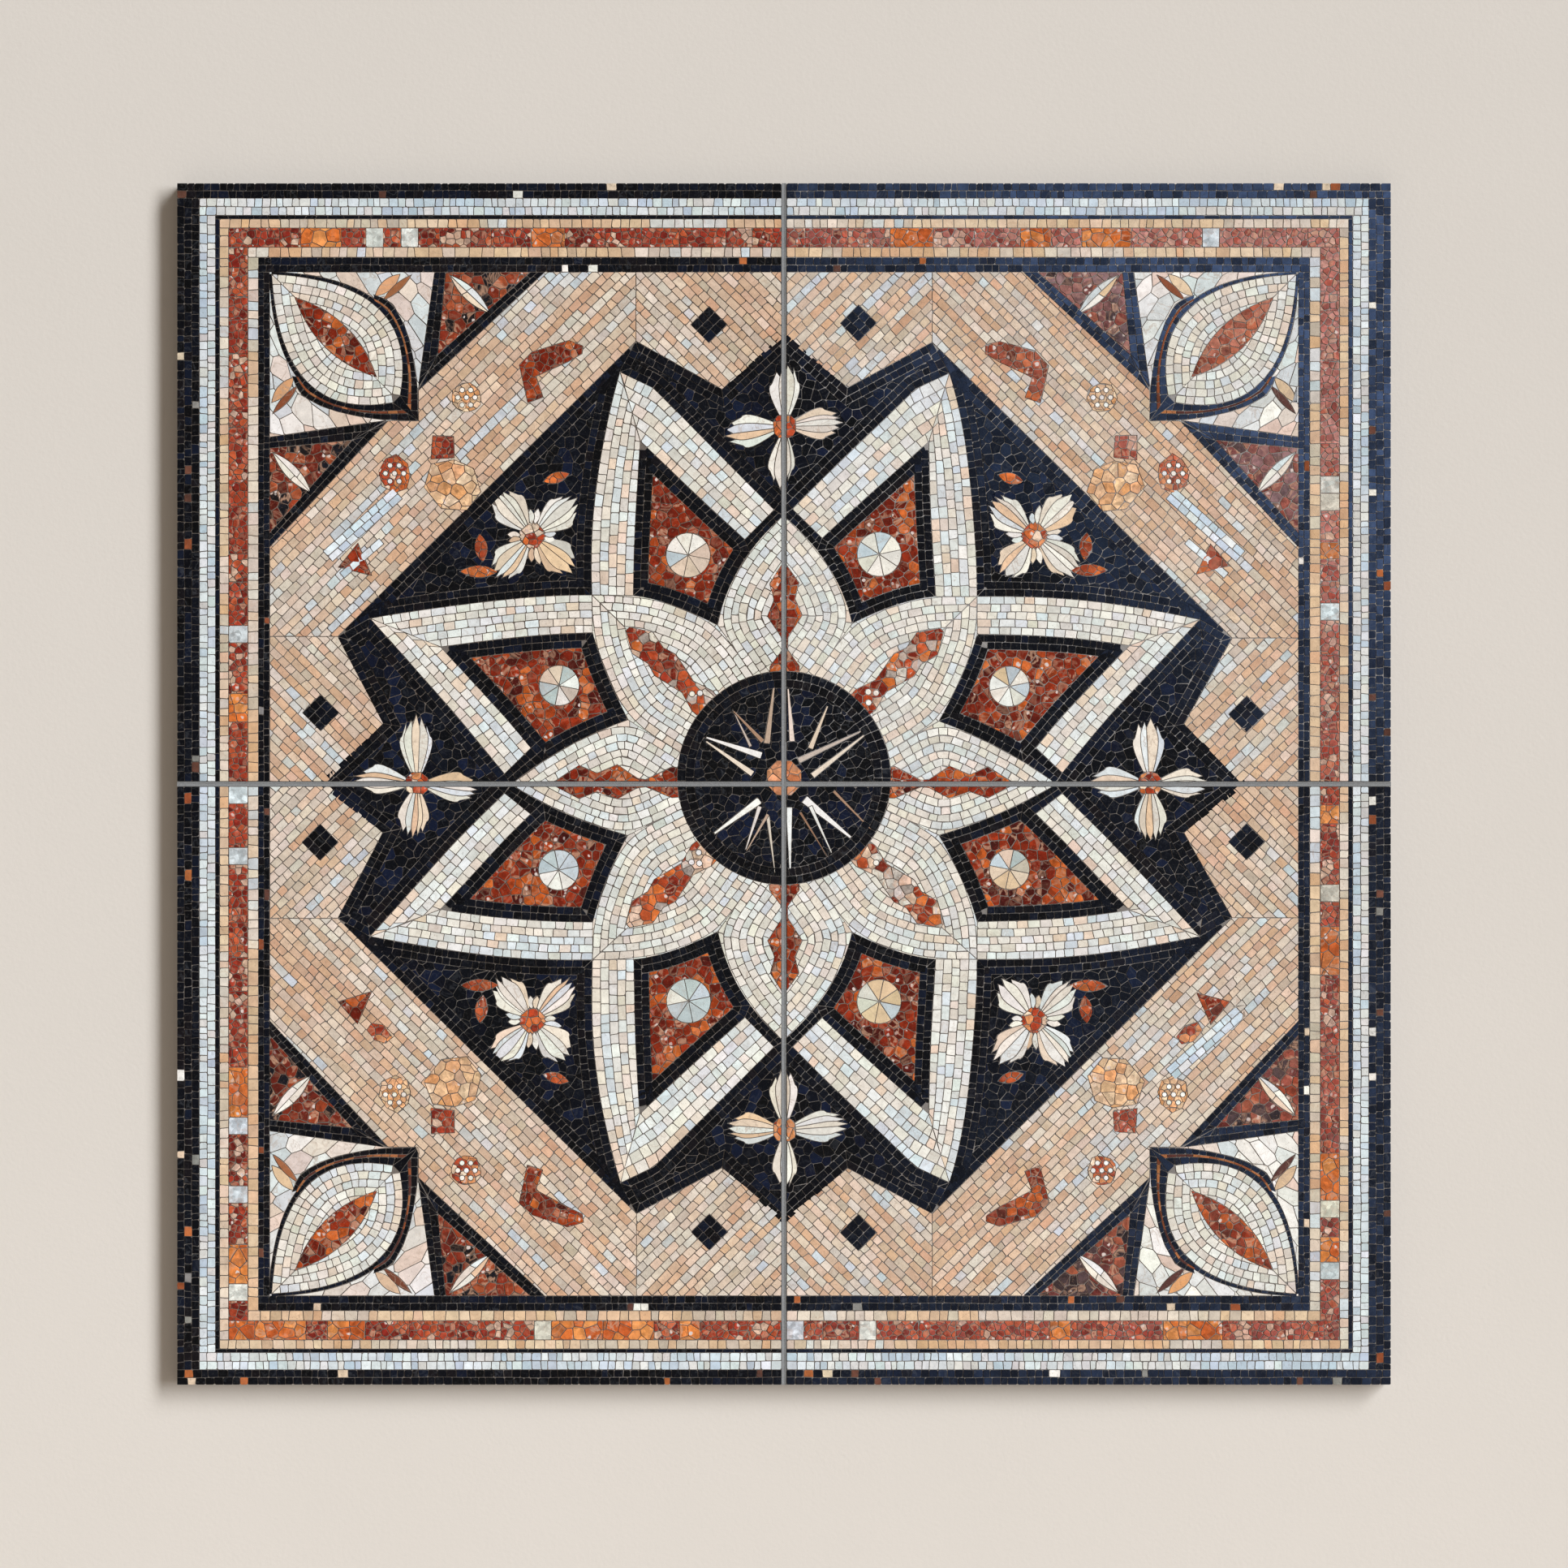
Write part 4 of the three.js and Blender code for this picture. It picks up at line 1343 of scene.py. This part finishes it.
# Thin wandering veins, more of them where the stone has more veining
def makeVeins():
    sockets = {"Seed": "Float", "Amount": "Float", "Scale": "Float", "Width": "Float"}
    tree, inside, out = newGroup("stoneVeins", sockets, {"Mask": "Float"})
    links = {"Vector": flatPlace(tree, inside["Seed"], 5.0), "Scale": inside["Scale"]}
    noise = addNode(tree, "TexNoise", None, {"Detail": 3.0, "Distortion": 1.1}, links)
    ridge = addMath(tree, "ABSOLUTE", addMath(tree, "SUBTRACT", noise.outputs["Fac"], 0.5))
    thin = addNode(tree, "MapRange", None, {"From Min": 0.003, "To Min": 1.0, "To Max": 0.0},
                   {"Value": ridge, "From Max": inside["Width"]}).outputs["Result"]
    tree.links.new(addMath(tree, "MULTIPLY", thin, inside["Amount"], True), out["Mask"])
    return tree


# Rounded clasts in a darker mass, each with a value of its own
def makeBreccia():
    tree, inside, out = newGroup("breccia", {"Seed": "Float", "Scale": "Float"},
                                 {"Clast": "Float", "Value": "Float"})
    here = flatPlace(tree, inside["Seed"], 0.4)
    push = addNode(tree, "TexNoise", None, {"Scale": 170.0, "Detail": 2.0}, {"Vector": here}).outputs["Color"]
    bent = addNode(tree, "VectorMath", {"operation": "MULTIPLY_ADD"}, None, {0: push, 2: here})
    bent.inputs[1].default_value = (0.004, 0.004, 0.004)
    links = {"Vector": bent.outputs[0], "Scale": inside["Scale"]}
    cells = addNode(tree, "TexVoronoi", {"feature": "F1"}, {"Randomness": 1.0}, links)
    tree.links.new(addRange(tree, cells.outputs["Distance"], 0.3, 0.46, 1.0, 0.0), out["Clast"])
    value = addNode(tree, "SeparateColor", links={"Color": cells.outputs["Color"]}).outputs[0]
    tree.links.new(value, out["Value"])
    return tree


# Small pits and saw marks, as a height
def makeSurface():
    tree, inside, out = newGroup("honedSurface", {"Seed": "Float", "Grain": "Float"},
                                 {"Height": "Float", "Pits": "Float"})
    here = flatPlace(tree, inside["Seed"], 7.0)
    pits = addRange(tree, clouds(tree, here, 420, 2), 0.3, 0.4, 1.0, 0.0)
    waves = clouds(tree, here, 90, 1)
    grain = addMath(tree, "MULTIPLY", inside["Grain"], 0.25)
    height = addMath(tree, "SUBTRACT", addMath(tree, "ADD", waves, grain), pits)
    tree.links.new(height, out["Height"])
    tree.links.new(pits, out["Pits"])
    return tree


mottle, veining, breccia, honed = makeMottle(), makeVeins(), makeBreccia(), makeSurface()
looks = {
    "dark_stone": {
        "mottle": 0.6, "vein": (0.16, 0.17, 0.19, 1), "veinShare": 0.3, "veinScale": 60, "veinWidth": 0.03,
        "rough": 0.45, "specular": 0.12, "dust": (0.05, 0.047, 0.045, 1), "rim": 0.5,
    },
    "white_stone": {
        "mottle": 0.26, "vein": (0.36, 0.39, 0.42, 1), "veinShare": 0.6, "veinScale": 50, "veinWidth": 0.03,
        "rough": 0.42, "specular": 0.4, "dust": (0.24, 0.21, 0.19, 1), "rim": 0.75,
    },
    "peach_stone": {
        "mottle": 0.34, "vein": (0.45, 0.24, 0.13, 1), "veinShare": 0.55, "veinScale": 55, "veinWidth": 0.03,
        "rough": 0.46, "specular": 0.4, "dust": (0.25, 0.18, 0.13, 1), "rim": 0.75,
    },
    "pale_stone": {
        "mottle": 0.3, "vein": (0.42, 0.3, 0.22, 1), "veinShare": 0.55, "veinScale": 48, "veinWidth": 0.03,
        "rough": 0.44, "specular": 0.4, "dust": (0.25, 0.19, 0.15, 1), "rim": 0.75,
    },
    "red_stone": {
        "mottle": 0.7, "vein": (0.55, 0.31, 0.2, 1), "veinShare": 0.8, "veinScale": 42, "veinWidth": 0.05,
        "rough": 0.4, "specular": 0.2, "dust": (0.34, 0.18, 0.11, 1), "rim": 0.8,
        "clast": (0.55, 0.46, 0.42, 1), "clastScale": 210,
    },
}


def newMaterial(name):
    material = bpy.data.materials.new(name)
    material.use_nodes = True
    tree = material.node_tree
    return material, tree, tree.nodes["Principled BSDF"]


def addBump(tree, shader, height, strength, distance):
    bump = addNode(tree, "Bump", None, {"Strength": strength, "Distance": distance}, {"Height": height})
    tree.links.new(bump.outputs["Normal"], shader.inputs["Normal"])


def makeStone(name, look):
    material, tree, shader = newMaterial(name)
    tone = addNode(tree, "Attribute", {"attribute_name": "tone"}).outputs["Color"]
    marks = addNode(tree, "Attribute", {"attribute_name": "marks"}).outputs["Color"]
    seed, veins, rim = addNode(tree, "SeparateColor", links={"Color": marks}).outputs
    clouded = place(tree, mottle, {"Strength": look["mottle"]}, {"Seed": seed})
    colour = addMix(tree, "MULTIPLY", 1.0, tone, clouded["Factor"])
    if "clast" in look:
        lumps = place(tree, breccia, {"Scale": look["clastScale"]}, {"Seed": seed})
        chosen = addMath(tree, "MULTIPLY", lumps["Clast"], addRange(tree, lumps["Value"], 0.84, 0.88))
        chosen = addMath(tree, "MULTIPLY", chosen, addRange(tree, veins, 0.25, 0.6))
        colour = addMix(tree, "MIX", chosen, colour, look["clast"])
        dim = addRange(tree, lumps["Value"], 0.0, 1.0, 0.72, 1.25)
        colour = addMix(tree, "MULTIPLY", 1.0, colour, dim)
    sizes = {"Scale": look["veinScale"], "Width": look["veinWidth"]}
    line = place(tree, veining, sizes, {"Seed": seed, "Amount": veins})["Mask"]
    colour = addMix(tree, "MIX", addMath(tree, "MULTIPLY", line, look["veinShare"]), colour, look["vein"])
    surface = place(tree, honed, None, {"Seed": seed, "Grain": clouded["Grain"]})
    colour = addMix(tree, "MIX", addMath(tree, "MULTIPLY", surface["Pits"], 0.25), colour, look["dust"])
    colour = addMix(tree, "MIX", addMath(tree, "MULTIPLY", rim, look["rim"]), colour, look["dust"])
    tree.links.new(colour, shader.inputs["Base Color"])
    rough = addRange(tree, clouded["Grain"], 0.3, 0.7, look["rough"] - 0.07, look["rough"] + 0.1)
    tree.links.new(rough, shader.inputs["Roughness"])
    shader.inputs["Specular IOR Level"].default_value = look["specular"]
    addBump(tree, shader, surface["Height"], 0.25, 0.0004)
    return material


def makeGrout(name, light, dark, warmth=None, paleGroutTones=None):
    material, tree, shader = newMaterial(name)
    here = addNode(tree, "TexCoord").outputs["Object"]
    sand, patches = clouds(tree, here, 1100, 2, 0.7), clouds(tree, here, 14, 4, 0.6)
    colour = addMix(tree, "MIX", addRange(tree, sand, 0.35, 0.65), dark, light)
    if warmth:
        colour = addMix(tree, "MIX", addRange(tree, patches, 0.4, 0.62, 0.0, 0.55), colour, warmth)
    if paleGroutTones:
        marks = addNode(tree, "Attribute", {"attribute_name": "marks"}).outputs["Color"]
        groutPaling = addNode(tree, "SeparateColor", links={"Color": marks}).outputs[0]
        pale = addMix(tree, "MIX", addRange(tree, sand, 0.35, 0.65), *paleGroutTones)
        colour = addMix(tree, "MIX", groutPaling, colour, pale)
    tree.links.new(colour, shader.inputs["Base Color"])
    shader.inputs["Roughness"].default_value = 0.88
    shader.inputs["Specular IOR Level"].default_value = 0.25
    addBump(tree, shader, sand, 0.5, 0.0004)
    return material


materials = {slot: makeStone(slot, look) for slot, look in looks.items()}
materials["grout"] = makeGrout("grout", (0.2, 0.175, 0.155, 1), (0.11, 0.095, 0.085, 1),
                               (0.15, 0.11, 0.085, 1), ((0.215, 0.2, 0.19, 1), (0.335, 0.31, 0.295, 1)))
materials["joint"] = makeGrout("jointGrout", (0.245, 0.245, 0.245, 1), (0.185, 0.185, 0.185, 1))

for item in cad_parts:
    solid = bpy.data.objects.get(item if isinstance(item, str) else item["name"])
    if solid and solid.type == "MESH":
        slots = [s["slot"] for s in stands.values() if any(solid.name.startswith(n) for n in s["nodes"])]
        kind = slots[0] if slots else "joint"
        solid.data.materials.clear()
        solid.data.materials.append(materials[kind])


def dress(piece, material, slot, *nodes):
    piece.data.materials.append(materials[material])
    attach(piece, "root")
    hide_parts(*nodes)


for name, section in sections.items():
    wanted = [section[key] for key in ("across", "up", "seed", "groutPaling")]
    dress(buildSlab("mortar_slab_" + name, *wanted), "grout", "grout", "section_" + name)
    for piece, stand in stands.items():
        made = buildStones(piece + "_stones_" + name, stones[name, piece])
        dress(made, stand["slot"], stand["slot"], *(n + "_" + name for n in stand["nodes"]))
    print("pieces built for", name)
arms = {
    "joint_top": (0j, halfV * 1j),
    "joint_bottom": (0j, -halfV * 1j),
    "joint_right": (joint["width"] / 2 + 0j, halfU + 0j),
    "joint_left": (-joint["width"] / 2 + 0j, -halfU + 0j),
}
for number, (name, ends) in enumerate(arms.items()):
    dress(buildArm(name, *ends, 70 + number), "joint", "grout", "joint_grout")
print("joint built")


# Wall, floor, lights and camera
def addPlane(name, corners, material, faces=((0, 1, 2, 3),)):
    mesh = bpy.data.meshes.new(name)
    mesh.from_pydata(corners, [], faces)
    plane = bpy.data.objects.new(name, mesh)
    bpy.context.scene.collection.objects.link(plane)
    plane.data.materials.append(material)
    return plane


def makePlaster():
    material, tree, shader = newMaterial("plaster")
    here = addNode(tree, "TexCoord").outputs["Object"]
    colour = addMix(tree, "MIX", clouds(tree, here, 3, 3), (0.655, 0.6, 0.54, 1), (0.685, 0.625, 0.565, 1))
    tree.links.new(colour, shader.inputs["Base Color"])
    shader.inputs["Roughness"].default_value = 0.9
    addBump(tree, shader, clouds(tree, here, 260, 4), 0.15, 0.001)
    # seen from behind, the wall lets the view and the light through
    through = addNode(tree, "BsdfTransparent").outputs[0]
    back = addNode(tree, "NewGeometry").outputs["Backfacing"]
    mixed = addNode(tree, "MixShader", None, None, {0: back, 1: shader.outputs[0], 2: through})
    tree.links.new(mixed.outputs[0], tree.nodes["Material Output"].inputs["Surface"])
    return material


plaster = makePlaster()
room = {"reach": 2.6, "wall": 0.0012, "floor": -1.25, "depth": 4.5, "cover": 0.0015}
reach, wallY, floorZ = room["reach"], room["wall"], room["floor"]
# the wall is open behind the panel, so that its back shows in the light from behind
openU, openV = halfU * mm - room["cover"], halfV * mm - room["cover"]
wallPoints = [(-reach, wallY, floorZ), (reach, wallY, floorZ), (reach, wallY, reach), (-reach, wallY, reach)]
wallPoints += [(-openU, wallY, -openV), (openU, wallY, -openV), (openU, wallY, openV), (-openU, wallY, openV)]
addPlane("wall", wallPoints, plaster, [(k, (k + 1) % 4, 4 + (k + 1) % 4, 4 + k) for k in range(4)])
addPlane("floor", [(-reach, -room["depth"], floorZ), (reach, -room["depth"], floorZ), (reach, wallY, floorZ),
                   (-reach, wallY, floorZ)], plaster)


def addSun(name, towards, energy, angle, colour):
    light = bpy.data.lights.new(name, "SUN")
    light.energy, light.angle, light.color = energy, angle, colour
    lamp = bpy.data.objects.new(name, light)
    lamp.rotation_euler = Vector(towards).to_track_quat("Z", "Y").to_euler()
    bpy.context.scene.collection.objects.link(lamp)


# A tall window on the right, as a column of panes
window = {"panes": 5, "lowest": 0.2, "step": 0.75, "energy": 0.98, "angle": 0.3, "colour": (0.9, 0.95, 1.0)}
for pane in range(window["panes"]):
    height = window["lowest"] + window["step"] * pane
    addSun("pane", (2.9, -2.2, height), window["energy"], window["angle"], window["colour"])
addSun("behind", (-0.15, 1.0, 0.35), 1.6, 0.4, (0.95, 0.97, 1.0))
world = bpy.data.worlds.new("room")
bpy.context.scene.world = world
world.use_nodes = True
world.node_tree.nodes["Background"].inputs["Color"].default_value = (1.0, 0.85, 0.68, 1)
world.node_tree.nodes["Background"].inputs["Strength"].default_value = 0.19

view = {"lens": 85, "sensor": 36, "back": 3.677}
camera = bpy.data.objects.new("camera", bpy.data.cameras.new("camera"))
camera.data.lens, camera.data.sensor_width = view["lens"], view["sensor"]
camera.location = (0, -view["back"], 0)
camera.rotation_euler = (math.pi / 2, 0, 0)
bpy.context.scene.collection.objects.link(camera)
bpy.context.scene.camera = camera
bpy.context.scene.view_settings.view_transform = "Standard"

print("scene ready")
